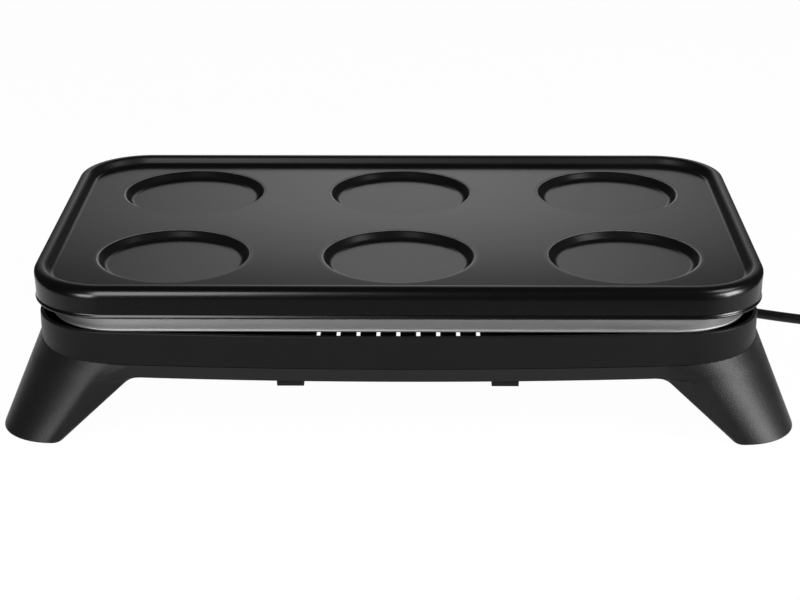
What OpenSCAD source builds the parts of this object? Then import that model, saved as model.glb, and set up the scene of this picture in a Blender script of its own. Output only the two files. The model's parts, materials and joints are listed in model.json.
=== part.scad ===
// Countertop mini crepe maker: a six-recess plate on a bright heat tray, over a black base on splayed legs.
// Lengths are in millimetres. The table is Z = 0, +X runs along the length and the front faces -Y.

/* [Griddle plate] */
// Length of the plate over its skirt
plate_l = 462; // [445:1:480]
// Width of the plate over its skirt
plate_w = 279; // [272:1:295]
// Corner radius of the plate
plate_corner_r = 48; // [42:1:54]
// Thickness of the cast plate
plate_sheet = 2.5; // [2:0.1:3]
// Height of the rim above the cooking face
rim_rise = 5.2; // [4:0.1:6]
// Width of the rolled top of the rim
rim_top_w = 7; // [6.6:0.1:8.5]
// Width of the slope from the rim down to the cooking face
rim_slope_w = 4; // [3:0.1:5.5]
// Drop of the skirt below the cooking face
skirt_drop = 15.5; // [13:0.5:17]
// Thickness of the skirt
skirt_t = 2.6; // [2:0.1:3]
// Depth of the waist rolled into the skirt
skirt_waist = 0.8; // [0.5:0.1:1.3]

/* [Crepe recesses] */
// Diameter of a recess at the cooking face
recess_d = 97.5; // [84:0.5:106]
// Depth of a recess
recess_depth = 4.6; // [3:0.1:5.5]
// Width of the sloping wall of a recess
recess_slope_w = 4.4; // [3.2:0.1:5.5]
// Distance between recess columns
col_pitch = 145.5; // [124:0.5:150]
// Distance between the two recess rows
row_pitch = 130.5; // [122:0.5:134]

/* [Heat tray] */
// Distance of the tray wall inside the plate edge
tray_inset = 10.4; // [9:0.1:13]
// Corner radius of the tray
tray_corner_r = 46; // [38:1:50]
// Depth of the tray
tray_depth = 25; // [22:0.1:30]
// Sheet thickness of the tray
tray_sheet = 0.8; // [0.6:0.1:1.2]
// Radius of the bend between tray wall and tray floor
tray_bend_r = 3; // [2:0.1:5]
// Radius of the bead rolled out at the foot of the tray wall
tray_bead_r = 0.9; // [0.6:0.1:1.4]
// Width of the hem turned in at the top of the tray
hem_w = 4; // [3:0.1:6]
// Height of the stiffening groove above the tray bottom
groove_lift = 8.5; // [6:0.1:12]
// Depth of the stiffening groove
groove_depth = 0.5; // [0.3:0.05:0.7]
// Length of a locating lug under the plate
lug_l = 14; // [8:0.5:24]
// Height of a locating lug
lug_h = 4; // [3:0.1:6]

/* [Heating element] */
// Diameter of the element sheath
element_d = 6.6; // [5.5:0.1:8]
// Height of the sheath axis above the tray floor
element_lift = 11.2; // [9.5:0.1:12.5]
// Distance of each run from the middle line of its recess row
run_offset = 27.5; // [22:0.5:32]
// Bend radius of the element at the left end
element_bend_r = 25; // [16:0.5:26]
// Distance of the cold pins inside the right plate edge
pin_in = 35; // [31:0.5:45]
// Distance of the outer loop inside the left plate edge
loop_in = 40; // [34:0.5:50]
// Distance of the element supports from the middle of the plate
support_x = 100; // [82:1:112]

/* [Base] */
// Overhang of the plate beyond the base at each end
plate_overhang = 2.5; // [1:0.5:6]
// Distance that the middle of the band stands in front of the plate
front_stand = 6.8; // [4:0.1:9]
// Bow of the long sides of the base
bow = 7.3; // [5:0.1:11]
// Corner radius of the base
base_corner_r = 48; // [44:0.5:52]
// Wall thickness of the moulded base parts
wall = 2.5; // [2:0.1:3]
// Height of the upper band
band_h = 21.5; // [19:0.1:24]
// Height of the lower strip between the legs
strip_h = 8.2; // [7:0.1:12]
// Thickness of the floor panel
floor_t = 2.5; // [2:0.1:3.5]
// Width of the flange that carries the floor panel
flange_w = 16; // [14:0.5:18]
// Distance from the floor panel up to the tray
tray_lift = 15.6; // [14.6:0.1:18]
// Distance between the two front housing bosses
boss_pitch = 240; // [200:1:260]

/* [Legs] */
// Clear height under the lower strip
leg_clear = 37; // [34:0.5:44]
// Lean of the legs towards the ends, in degrees from upright
leg_lean = 22; // [16:0.5:24]
// Lean of the legs towards the front and the back, in degrees from upright
leg_lean_front = 24.5; // [18:0.5:26]
// Step of a leg beyond the end of the base at the seam
leg_step = 3.3; // [2.6:0.1:4]
// Step of a leg beyond the corner of the base at its long side
leg_front_step = 0.5; // [0.3:0.1:1]
// Width of a leg at the bottom of the strip
leg_top_w = 66.8; // [63:0.1:70]
// Slope of the inner leg edges from upright, in degrees
leg_taper = 50.5; // [46:0.5:52]
// Radius between the strip and a leg
leg_fillet = 17; // [8:0.5:20]
// Outer corner radius of a leg at the seam
leg_seam_r = 50; // [46:0.5:54]
// Outer corner radius of a leg at the foot
leg_foot_r = 35; // [24:0.5:36]
// Diameter of a foot pad
pad_d = 20; // [14:0.5:22]
// Part of a foot pad that stands below its leg
pad_stand = 0.5; // [0.4:0.1:1.2]

/* [Vents and cleats] */
// Number of slots in the floor panel
vent_count = 9; // [3:2:11]
// Distance between slots
vent_pitch = 12.8; // [8:0.1:13]
// Width of a slot
vent_w = 2.6; // [1.5:0.1:4]
// Length of a slot
vent_l = 44; // [20:1:48]
// Distance of the slots' middle inside the front of the base
vent_in = 54.3; // [51.3:0.5:60.3]
// Distance of the cord cleats from the middle of the base
cleat_x = 67.5; // [62:0.5:90]
// Width of a cleat at its root
cleat_w = 18.5; // [10:0.5:20]
// Drop of a cleat below the floor panel
cleat_drop = 19; // [12:0.5:20]
// Length of a cleat's lip
cleat_lip = 13; // [6:0.5:14]

/* [Wiring] */
// Length of the wiring cover
cover_l = 78; // [74:1:84]
// Width of the wiring cover
cover_w = 52; // [46:1:56]
// Depth of the wiring cover
cover_h = 23; // [21.5:0.5:26]
// Distance of the wiring cover's middle inside the rear of the base
cover_in = 66.3; // [62.3:0.5:72.3]
// Diameter of the inner leads
lead_d = 3; // [2:0.1:3.2]

/* [Cord] */
// Diameter of the mains cord
cord_d = 7; // [6.5:0.1:7]
// Turns in the coil
coil_turns = 2.9; // [2.3:0.1:3.1]
// Radius of the coil's outer turn
coil_r = 43; // [42:0.5:48]
// Distance between neighbouring turns and between layers
coil_pitch = 7.6; // [7.5:0.1:8]
// Diameter of the plug
plug_d = 37.5; // [36:0.5:40]

/* [Clearances] */
// Gap between the plate and the tray hem
seat_gap = 0.2; // [0.1:0.05:0.4]
// Gap between the band and the leg frame
seam_gap = 0.2; // [0.1:0.05:0.4]
// Gap round parts that slip into each other
slip = 0.2; // [0.1:0.05:0.3]
// Gap between the locating lugs and the tray hem
lug_gap = 0.6; // [0.3:0.1:1]

/* [Hidden] */
$fn = 64;

// Colours
enamel_black = "#26262a";
gloss_black = "#161618";
satin_black = "#2e2e32";
rubber_black = "#1b1b1c";
bright_steel = "#b9bdc0";
plain_steel = "#8c9094";
ceramic_white = "#e9e4d8";
brass_yellow = "#c9a24a";
live_brown = "#6b4226";
neutral_blue = "#2f5fa8";
earth_green = "#7fae3a";

// Heights, from the table up
seam_z = leg_clear + strip_h;
floor_top = seam_z + floor_t;
tray_z = floor_top + tray_lift;
tray_floor = tray_z + tray_sheet;
tray_top = tray_z + tray_depth;
plate_under = tray_top + seat_gap;
plate_z = plate_under + plate_sheet;
rim_z = plate_z + rim_rise;
skirt_z = plate_z - skirt_drop;
element_z = tray_floor + element_lift;
band_top = seam_z + band_h;

// Rim of the plate
rim_in = rim_top_w + rim_slope_w;
under_shift = plate_sheet * tan(atan2(rim_rise, rim_slope_w) / 2);
bead_h = 2.4;
bead_edge = 1.1;
bead_chamfer = 0.5;
bead_soft = 0.5;
waist_soft = 0.7;
crest_soft = 2;
lip_soft = rim_top_w - crest_soft - 0.2;
lip_steps = 8;
bend_soft = 1.5;
edge_soft = 0.8;
hem_soft = 0.4;
skirt_draft = 0.6;
mouth_soft = 1.6;
mouth_out = 2.6;
mouth_rise = 0.05;
mouth_steps = 6;
sunk = 0.5;

// Tray and what is fixed to it
tray_l = plate_l - 2 * tray_inset;
tray_w = plate_w - 2 * tray_inset;
groove_h = 1.2;
lug_t = 3;
lug_out = hem_w + lug_gap;
spacer_l = 7;
spacer_r = 5;
post_r = 6;
spacer_in_x = 70;
spacer_in_y = 69.5;
spacer_x = plate_l / 2 - spacer_in_x;
spacer_y = plate_w / 2 - spacer_in_y;
post_bite = 6;
spacer_spots = [for (sx = [-1, 1], sy = [-1, 1]) [sx * spacer_x, sy * spacer_y]];
screw_r = 1.75;
screw_head = [4, 2.6];
thin_screw_r = 1.4;
thin_head = [3, 2];
boss_head = [3.5, 2.2];
short_head = [2.8, 1.8];
pilot_gap = 0.05;

// Element runs
y_out = row_pitch / 2 + run_offset;
y_in = row_pitch / 2 - run_offset;
pin_x = plate_l / 2 - pin_in;
loop_x = -plate_l / 2 + loop_in;
hairpin_in = 35;
hairpin_x = pin_x - hairpin_in;
inner_loop_x = loop_x + 2 * run_offset;
drop_r = 10;
sheath_tail = 4;
pin_tail = 7.5;
pin_r = 1.5;
pin_spots = [[pin_x, y_out], [pin_x, y_in]];
sheath_end = tray_z - sheath_tail;
support_t = 1;
support_foot = 12;
support_over = 8;
support_end = 1;
rivet_r = 1.5;
rivet_back = 9;
rivet_spread = run_offset - rivet_back;
support_rivets = [for (sx = [-1, 1], sy = [-1, 1], k = [-1, 1])
    [sx * support_x + support_foot / 2, sy * row_pitch / 2 + k * rivet_spread]];

// Thermostat, fuse and earth point under the tray
thermostat_x = 60;
thermostat_r = 8;
thermostat_h = 8;
ear_t = 1.2;
ear_l = 34;
ear_w = 14;
ear_hole = 12.5;
blade_l = 8;
blade_w = 6.3;
blade_t = 0.8;
blade_drop = 4.4;
blade_z = tray_z - ear_t - blade_drop;
screw_tip = 2;
fuse_x = 120;
fuse_y = 20;
fuse_r = 2.1;
fuse_l = 12;
fuse_z = tray_z - fuse_r - slip;
clip_t = 0.8;
clip_w = 6;
clip_reach = 12;
clip_rivet_out = 8;
clip_rivet = [fuse_x, fuse_y + clip_rivet_out];
earth_spot = [-60, 60];
earth_hole_r = 2.1;
earth_screw_r = 2;
earth_head = [3.6, 2.2];
all_rivets = concat(support_rivets, [clip_rivet]);

// Outline of the base: corner arcs that run into bowed long sides
base_l = plate_l - 2 * plate_overhang;
base_w = plate_w + 2 * front_stand;
corner_x = base_l / 2 - base_corner_r;
bow_r = (corner_x * corner_x + bow * bow) / (2 * bow);
bow_y = base_w / 2 - bow_r;
corner_y = sqrt(pow(bow_r - base_corner_r, 2) - corner_x * corner_x) + bow_y;
bow_half = asin(corner_x / (bow_r - base_corner_r));
corner_steps = 20;
bow_steps = 24;
band_soft = 1;
band_steps = 4;

// Fastening of the base
boss_in = 11.5;
boss_r = 4.2;
boss_h = 13;
boss_rib_t = 2;
boss_gap = 0.1;
boss_bite = 9;
bow_at_boss = bow_y + sqrt(bow_r * bow_r - boss_pitch * boss_pitch / 4);
boss_spots = concat(
    [for (sx = [-1, 1], sy = [-1, 1]) [sx * boss_pitch / 2, sy * (bow_at_boss - boss_in)]],
    [for (sx = [-1, 1]) [sx * (base_l / 2 - boss_in), 0]]);
floor_gap = 0.4;

// Legs
leg_x = base_l / 2 + leg_step;
leg_y = corner_y + base_corner_r + leg_front_step;
leg_hole_in = 44;
leg_hole_r = 23;
leg_turn = 90 - leg_taper;
fillet_back = leg_fillet * tan(leg_turn / 2);
fillet_drop = leg_fillet * (1 - cos(leg_turn));
foot_z = pad_stand;
wedge_h = 5.3;
leg_side_r = [5, 1.5];
leg_inner_r = 10;
leg_floor = 3.2;
pad_in = 20.7;
pad_sunk = 1.4;
pad_x = leg_x + (seam_z - foot_z) * tan(leg_lean) - pad_in;
pad_y = leg_y + (seam_z - foot_z) * tan(leg_lean_front) - pad_in;
leg_top_z = seam_z - wall;
edge_round = [[0, 0.7], [0.25, 0.25], [0.9, 0]];
tuck_h = 18;
fillet_steps = 6;

// Slots in the floor panel, and cleats under it
vent_y = base_w / 2 - vent_in;
cleat_t = 3;
cleat_in = 34.3;
cleat_y = base_w / 2 - cleat_in;
cleat_draft = 0.75;

// Wiring cover and what it holds
cover_x = 12;
cover_y = base_w / 2 - cover_in;
cover_wall = 2;
cover_r = 4;
cover_z = seam_z - cover_h;
cover_lug_w = 12;
cover_lug_l = 10;
cover_lug_in = 11;
cover_lug_x = cover_l / 2 - cover_lug_in;
cover_lug_y = cover_w / 2 + cover_lug_l / 2;
cover_spots = [for (sx = [-1, 1], sy = [-1, 1]) [cover_x + sx * cover_lug_x, cover_y + sy * cover_lug_y]];
cover_boss_r = 3.6;
cover_boss_h = 4.5;
cover_bite = 3;
cord_drop = 11.2;
cord_z = seam_z - cord_drop;
cord_r = cord_d / 2;
block_l = 18;
block_w = 30;
block_h = 14;
pole_pitch = 9;
poles = [for (k = [-1:1]) cover_y + k * pole_pitch];
block_z = seam_z - block_h / 2;
entry_l = 7;
pole_screw_r = 2.2;
pole_screw_h = 2.5;
hole_x = -18;
hole_w = 12;
clamp_x = 34;
clamp_l = 8;
clamp_t = 2.6;
clamp_half = 14;
clamp_screw_y = 10;
clamp_top = cord_z - cord_r - slip;
clamp_seat = 2;
clamp_bite = 10;
clamp_boss_r = 3.4;
tail_x = 24;

// Strain relief, along +X from inside the cover
cover_end = cover_x + cover_l / 2;
relief_r = 8;
relief_flange = 3;
relief_neck_r = 5.6;
relief_gap = 0.3;
relief_in = cover_end - cover_wall - relief_gap - relief_flange;
relief_out = cover_end + relief_gap + relief_flange;
relief_l = 34;
relief_tip = cover_end + relief_l;
relief_root_r = 6.2;
relief_tip_r = 4.6;
relief_rings = 6;
ring_w = 2;
ring_deep = 0.7;

// Leads: corner radius and levels
lead_r = lead_d / 2;
lead_bend = 6;
lead_drop = 8.5;
lead_z = tray_z - lead_drop;
lead_straight = 12;
live_turn_y = 42;
live_turn_x = 4;
neutral_turn = 45;
neutral_straight = 18;
fuse_slant = 20;
earth_straight = 20;
sleeve = [7, 6, 5];
sleeve_gap = 2;
sleeve_z = sheath_end - sleeve_gap - sleeve[2];
receptacle = [14, 7.8, 3.6];

// Mains cord: out of the strain relief, down to the table and out between the right-hand legs
cord_sag = [[0, 0, cord_z], [13, 0, cord_z], [27, 0, 32.3], [41, 0, 27.5], [55, 0, 19], [69, 0.2, 10.5],
    [83, 0.5, 5.8], [99, 1.2, 3.8], [113, 3.7, 3.6], [128, 9, 3.6], [143, 15, 3.6], [157, 20.7, 3.6],
    [171, 26.4, 3.6], [184, 31.8, 3.6], [198, 37.5, 3.8], [212, 43.2, 4.3], [226, 48.9, 4.8],
    [240, 54.6, 4.8]];
cord_route = [for (p = cord_sag) [relief_tip + p[0], cover_y - p[1], p[2]]];
cord_end = cord_route[len(cord_route) - 1];
cord_before = cord_route[len(cord_route) - 2];

// Coil: spirals in on the table, climbs half a turn and spirals out on top
coil_heading = atan2(cord_end[1] - cord_before[1], cord_end[0] - cord_before[0]);
coil_climb = 0.5;
coil_in_turns = (coil_turns - coil_climb) / 2;
coil_inner_r = coil_r - coil_pitch * coil_in_turns;
coil_dip = 1.5;
coil_rings = 24;
coil_start = cord_end + cord_d * [cos(coil_heading), sin(coil_heading), 0];
coil_axis = coil_start + coil_r * [-sin(coil_heading), cos(coil_heading), 0];
coil_exit_heading = coil_heading + 360 * coil_turns;
lead_out_l = 36;
plug_lift = 0.25;
plug_z = plug_d / 2 + plug_lift;
tie_angle = 33;
tie_t = 0.8;
tie_w = 5;
tie_gap = 0.3;

// Plug
plug_tail_l = 25;
plug_body_l = 40;
plug_l = plug_tail_l + plug_body_l;
plug_pin_r = 2.4;
plug_pin_l = 19;
plug_pin_pitch = 19;
plug_slot_w = 8;
plug_slot_deep = 2;
plug_slot_l = 15;
plug_strip_t = 1;
plug_pin_deep = 6;
plug_tail_r = [4.8, 6.8];
plug_neck = [[5, 6, 3], [2, 15, 3], [0, 20, 2]];
plug_edge = 1.2;
tie_soft = 2;

// Small functions
function unit(v) = v / norm(v);
function flat(v) = [v[0], v[1]];
function arc(c, r, a0, a1, n) = [for (i = [0:n]) let (a = a0 + (a1 - a0) * i / n) c + r * [cos(a), sin(a)]];
function mirror_y(v) = [for (i = [len(v) - 1:-1:0]) [v[i][0], -v[i][1]]];
function smooth(t) = t * t * (3 - 2 * t);

// Curve that replaces the corner p1, from a distance d before it to a distance d after it
function soft_corner(p0, p1, p2, d, n = 4) = d == 0 ? [p1] :
    let (a = p1 + d * unit(p0 - p1), b = p1 + d * unit(p2 - p1))
    [for (i = [0:n]) let (t = i / n) (1 - t) * (1 - t) * a + 2 * t * (1 - t) * p1 + t * t * b];

// Closed section whose corners [x, z, softness, steps] are rounded off, in four steps unless they name others
function soften(v) = let (n = len(v))
    [for (i = [0:n - 1]) let (before = v[(i + n - 1) % n], after = v[(i + 1) % n])
        each soft_corner(flat(before), flat(v[i]), flat(after), v[i][2], len(v[i]) > 3 ? v[i][3] : 4)];

// Open path in space whose inner corners are rounded off
function ease(p, d) = let (n = len(p))
    [for (i = [0:n - 1]) each (i == 0 || i == n - 1) ? [p[i]] :
        let (room = min(norm(p[i] - p[i - 1]), norm(p[i + 1] - p[i])))
        soft_corner(p[i - 1], p[i], p[i + 1], min(d, room / 2.2))];

// Direction of a path at one of its points, and a side vector carried along it without twist
function heading(p, i) = unit(p[min(i + 1, len(p) - 1)] - p[max(i - 1, 0)]);
function carried(p, side, i = 0) = i == len(p) ? [] :
    let (t = heading(p, i), s = unit(side - (side * t) * t)) concat([s], carried(p, s, i + 1));
function run_length(p, i = 1) = i == len(p) ? 0 : norm(p[i] - p[i - 1]) + run_length(p, i + 1);

// Closed outline of the base, drawn in by a distance
function rear_outline(inset) = concat(
    arc([corner_x, corner_y], base_corner_r - inset, 0, 90 - bow_half, corner_steps),
    [for (i = [1:bow_steps - 1]) let (a = 90 - bow_half + 2 * bow_half * i / bow_steps)
        [0, bow_y] + (bow_r - inset) * [cos(a), sin(a)]],
    arc([-corner_x, corner_y], base_corner_r - inset, 90 + bow_half, 180, corner_steps));
function outline(inset) = concat(rear_outline(inset), mirror_y(rear_outline(inset)));

// Skin of a solid made of equal closed rings, lower rings first and each ring counterclockwise from above
function skin_faces(rings, n) = concat(
    [[for (j = [0:n - 1]) j]],
    [[for (j = [n - 1:-1:0]) (rings - 1) * n + j]],
    [for (i = [0:rings - 2], j = [0:n - 1]) [i * n + j, (i + 1) * n + j, (i + 1) * n + (j + 1) % n]],
    [for (i = [0:rings - 2], j = [0:n - 1]) [i * n + j, (i + 1) * n + (j + 1) % n, i * n + (j + 1) % n]]);

// Solid through a list of rings
module skin(rings) {
    polyhedron(points = [for (ring = rings) each ring], faces = skin_faces(len(rings), len(rings[0])));
}

// Round tube along a path
module tube(path, r, sides, side = [0, 0, 1]) {
    s = carried(path, side);
    skin([for (i = [0:len(path) - 1]) let (b = cross(heading(path, i), s[i]))
        [for (j = [0:sides - 1]) path[i] + r * (cos(360 * j / sides) * s[i] + sin(360 * j / sides) * b)]]);
}

// Sweep of a section round a rounded rectangle, with the section's X running outward from the corner axes
module sweep_round(l, w, r) {
    half_x = l / 2 - r;
    half_y = w / 2 - r;
    for (mx = [0, 1], my = [0, 1])
        mirror([mx, 0, 0])
            mirror([0, my, 0])
                translate([half_x, half_y, 0])
                    rotate_extrude(angle = 90)
                        children();
    for (mx = [0, 1])
        mirror([mx, 0, 0])
            translate([half_x, half_y, 0])
                rotate([90, 0, 0])
                    linear_extrude(2 * half_y)
                        children();
    for (my = [0, 1])
        mirror([0, my, 0])
            translate([-half_x, half_y, 0])
                rotate([90, 0, 90])
                    linear_extrude(2 * half_x)
                        children();
}

// Block that fills the middle of such a sweep
module middle_block(l, w, r, z, t) {
    translate([r - l / 2, r - w / 2, z])
        cube([l - 2 * r, w - 2 * r, t]);
}

module round_rect(l, w, r) {
    square([l, w - 2 * r], center = true);
    square([l - 2 * r, w], center = true);
    for (sx = [-1, 1], sy = [-1, 1])
        translate([sx * (l / 2 - r), sy * (w / 2 - r)])
            circle(r);
}

module slot_2d(l, w) {
    square([w, l - w], center = true);
    for (s = [-1, 1])
        translate([0, s * (l - w) / 2])
            circle(w / 2);
}

module at(spots, z = 0) {
    for (p = spots)
        translate([p[0], p[1], z])
            children();
}

module quadrants() {
    for (mx = [0, 1], my = [0, 1])
        mirror([mx, 0, 0])
            mirror([0, my, 0])
                children();
}

// Screw that points down from the underside of its head, with a cross cut in the head
module screw(head_r, head_h, shank_r, shank_l) {
    cross_w = head_r / 4;
    difference() {
        union() {
            cylinder(h = head_h, r = head_r);
            translate([0, 0, -shank_l])
                cylinder(h = shank_l + head_h / 2, r = shank_r);
        }
        for (a = [0, 90])
            rotate(a)
                translate([-head_r * 0.6, -cross_w / 2, head_h * 0.55])
                    cube([head_r * 1.2, cross_w, head_h]);
    }
}

// Section of the plate from a corner axis out to the rolled skirt
module plate_section() {
    r = plate_corner_r;
    polygon(soften([
        [0, plate_under, 0],
        [0, plate_z, 0],
        [r - rim_in, plate_z, bend_soft],
        [r - rim_top_w, rim_z, crest_soft, lip_steps],
        [r, rim_z, lip_soft, lip_steps],
        [r - skirt_waist, skirt_z + bead_h, waist_soft],
        [r, skirt_z + bead_edge, bead_soft],
        [r - bead_chamfer, skirt_z, bead_chamfer],
        [r - skirt_t, skirt_z, hem_soft],
        [r - skirt_t - skirt_draft, rim_z - plate_sheet, edge_soft],
        [r - rim_top_w + under_shift, rim_z - plate_sheet, edge_soft],
        [r - rim_in + under_shift, plate_under, edge_soft]]));
}

module at_recesses() {
    for (i = [-1:1], j = [-1, 1])
        translate([i * col_pitch, j * row_pitch / 2, 0])
            children();
}

// Pressing that hangs under the plate below one recess
module recess_pan() {
    r = recess_d / 2;
    rotate_extrude()
        polygon(soften([
            [0, plate_under - recess_depth, 0],
            [r - recess_slope_w + under_shift, plate_under - recess_depth, bend_soft],
            [r + under_shift, plate_under, 0],
            [r + under_shift, plate_under + sunk, 0],
            [0, plate_under + sunk, 0]]));
}

// Cut of one recess, with a softened mouth
module recess_cut() {
    r = recess_d / 2;
    rotate_extrude()
        polygon(soften([
            [0, plate_z - recess_depth, 0],
            [r - recess_slope_w, plate_z - recess_depth, bend_soft],
            [r, plate_z, mouth_soft, mouth_steps],
            [r + mouth_out, plate_z + mouth_rise, 0],
            [r + mouth_out, plate_z + 1, 0],
            [0, plate_z + 1, 0]]));
}

// Lugs under the plate that drop inside the tray hem
module plate_lugs() {
    out_x = tray_l / 2 - lug_out;
    out_y = tray_w / 2 - lug_out;
    for (sx = [-1, 1])
        translate([sx * (out_x - lug_t / 2), 0, plate_under - lug_h / 2 + sunk / 2])
            cube([lug_t, lug_l, lug_h + sunk], center = true);
    for (sx = [-1, 1], sy = [-1, 1])
        translate([sx * col_pitch / 2, sy * (out_y - lug_t / 2), plate_under - lug_h / 2 + sunk / 2])
            cube([lug_l, lug_t, lug_h + sunk], center = true);
}

module griddle_plate() {
    color(enamel_black)
        difference() {
            union() {
                sweep_round(plate_l, plate_w, plate_corner_r)
                    plate_section();
                middle_block(plate_l, plate_w, plate_corner_r, plate_under, plate_sheet);
                at_recesses()
                    recess_pan();
                plate_lugs();
            }
            at_recesses()
                recess_cut();
        }
}

// Section of the tray from a corner axis out to the wall and its hem
module tray_section() {
    r = tray_corner_r;
    bend = [r - tray_bend_r, tray_z + tray_bend_r];
    groove = tray_z + groove_lift;
    inner = r - tray_sheet;
    polygon(concat(
        [[0, tray_z]],
        arc([r, tray_z + tray_bead_r], tray_bead_r, -90, 90, 8),
        [[r, groove - groove_h], [r - groove_depth, groove], [r, groove + groove_h]],
        [[r, tray_top], [r - hem_w, tray_top]],
        [[r - hem_w, tray_top - tray_sheet], [inner, tray_top - tray_sheet]],
        [[inner, groove + groove_h], [inner - groove_depth, groove], [inner, groove - groove_h]],
        arc(bend, tray_bend_r - tray_sheet, 0, -90, 6),
        [[0, tray_floor]]));
}

module drill(spots, r) {
    at(spots, tray_z - 1)
        cylinder(h = tray_sheet + 2, r = r);
}

module reflector_tray() {
    color(bright_steel)
        difference() {
            union() {
                sweep_round(tray_l, tray_w, tray_corner_r)
                    tray_section();
                middle_block(tray_l, tray_w, tray_corner_r, tray_z, tray_sheet);
            }
            drill(spacer_spots, screw_r + slip);
            drill(pin_spots, bushing_r + slip);
            drill(all_rivets, rivet_r + slip);
            drill([for (s = [-1, 1]) [thermostat_x, s * ear_hole]], rivet_r + slip);
            drill([earth_spot], earth_hole_r + slip);
        }
}

// Straight piece of the sheath between two points at element height
module sheath_run(p, q) {
    translate([p[0], p[1], element_z])
        rotate([0, 90, atan2(q[1] - p[1], q[0] - p[0])])
            cylinder(h = norm(q - p), r = element_d / 2);
}

// Bend of the sheath round a centre, over an angle from a start
module sheath_bend(c, r, start, sweep) {
    translate([c[0], c[1], element_z])
        rotate(start)
            rotate_extrude(angle = sweep)
                translate([r, 0])
                    circle(element_d / 2);
}

// End of the sheath that turns down through the tray
module sheath_drop(y) {
    translate([pin_x - drop_r, y, element_z - drop_r])
        rotate([90, 0, 0])
            rotate_extrude(angle = 90)
                translate([drop_r, 0])
                    circle(element_d / 2);
    translate([pin_x, y, sheath_end])
        cylinder(h = element_z - drop_r - sheath_end, r = element_d / 2);
}

module heating_element() {
    b = element_bend_r;
    color(plain_steel) {
        for (y = [y_in, y_out])
            sheath_drop(y);
        sheath_run([loop_x + b, y_out], [pin_x - drop_r, y_out]);
        sheath_bend([loop_x + b, y_out - b], b, 90, 90);
        sheath_run([loop_x, b - y_out], [loop_x, y_out - b]);
        sheath_bend([loop_x + b, b - y_out], b, 180, 90);
        sheath_run([loop_x + b, -y_out], [hairpin_x, -y_out]);
        sheath_bend([hairpin_x, -row_pitch / 2], run_offset, -90, 180);
        sheath_run([inner_loop_x + b, -y_in], [hairpin_x, -y_in]);
        sheath_bend([inner_loop_x + b, b - y_in], b, 180, 90);
        sheath_run([inner_loop_x, b - y_in], [inner_loop_x, y_in - b]);
        sheath_bend([inner_loop_x + b, y_in - b], b, 90, 90);
        sheath_run([inner_loop_x + b, y_in], [pin_x - drop_r, y_in]);
    }
}

module element_pins() {
    color(plain_steel)
        at(pin_spots, sheath_end - pin_tail)
            cylinder(h = pin_tail, r = pin_r);
}

// Ceramic bushing with a flange that sits on the tray floor
bushing_wall = 2.7;
bushing_r = element_d / 2 + bushing_wall;
bushing_flange = 2;
bushing_lip = 2;
module element_bushings() {
    color(ceramic_white)
        at(pin_spots)
            difference() {
                union() {
                    translate([0, 0, sheath_end])
                        cylinder(h = sheath_tail + tray_sheet, r = bushing_r);
                    translate([0, 0, tray_floor])
                        cylinder(h = bushing_flange, r = bushing_r + bushing_lip);
                }
                translate([0, 0, sheath_end - 1])
                    cylinder(h = sheath_tail + tray_sheet + bushing_flange + 2, r = element_d / 2 + slip);
            }
}

// Angle bar with two open notches that carry one pair of runs
module element_support() {
    bar_l = 2 * (run_offset + support_over);
    notch_r = element_d / 2 + slip;
    top = element_lift + support_end;
    difference() {
        union() {
            translate([-support_t / 2, 0, tray_floor])
                rotate([90, 0, 90])
                    linear_extrude(support_t)
                        difference() {
                            translate([-bar_l / 2, 0])
                                square([bar_l, top]);
                            for (s = [-1, 1])
                                translate([s * run_offset, element_lift]) {
                                    circle(notch_r);
                                    translate([-notch_r, 0])
                                        square([2 * notch_r, top]);
                                }
                            translate([-run_offset + support_over, support_end + element_d])
                                square([2 * (run_offset - support_over), top]);
                        }
            translate([-support_t / 2, -bar_l / 2, tray_floor])
                cube([support_foot, bar_l, support_t]);
        }
        for (s = [-1, 1])
            translate([support_foot / 2, s * rivet_spread, tray_floor - 1])
                cylinder(h = support_t + 2, r = rivet_r + slip);
    }
}

module element_supports() {
    color(plain_steel)
        for (sx = [-1, 1], sy = [-1, 1])
            translate([sx * support_x, sy * row_pitch / 2, 0])
                element_support();
}

// Rivet through a stack of sheet, from the underside of its lower head to the top of its upper head
module rivet(low, high) {
    head_r = 2.8;
    tail_h = 0.6;
    head_h = 1.4;
    translate([0, 0, low - tail_h])
        cylinder(h = tail_h, r = head_r - 0.3);
    translate([0, 0, low - tail_h])
        cylinder(h = high - low + tail_h + head_h / 2, r = rivet_r);
    translate([0, 0, high])
        cylinder(h = head_h, r1 = head_r, r2 = head_r - 1);
}

module tray_rivets() {
    color(bright_steel) {
        at(support_rivets)
            rivet(tray_z, tray_floor + support_t);
        at([clip_rivet])
            rivet(tray_z - clip_t, tray_floor);
    }
}

module tray_screws() {
    color(plain_steel)
        at(spacer_spots, tray_floor)
            screw(screw_head[0], screw_head[1], screw_r, tray_sheet + spacer_l + post_bite);
}

module tray_spacers() {
    color(ceramic_white)
        at(spacer_spots, tray_z - spacer_l)
            difference() {
                cylinder(h = spacer_l, r = spacer_r);
                translate([0, 0, -1])
                    cylinder(h = spacer_l + 2, r = screw_r + 2 * slip);
            }
}

module thermostat() {
    color(plain_steel)
        difference() {
            union() {
                translate([thermostat_x, 0, tray_z - ear_t])
                    linear_extrude(ear_t)
                        slot_2d(ear_l, ear_w);
                translate([thermostat_x, 0, tray_z - ear_t - thermostat_h])
                    cylinder(h = thermostat_h + ear_t / 2, r = thermostat_r);
                for (s = [-1, 1])
                    translate([thermostat_x + s * (thermostat_r + blade_l / 2 - 1), 0, blade_z])
                        cube([blade_l + 2, blade_w, blade_t], center = true);
            }
            for (s = [-1, 1])
                translate([thermostat_x, s * ear_hole, tray_z - ear_t - 1])
                    cylinder(h = ear_t + 2, r = rivet_r + pilot_gap);
        }
}

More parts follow.
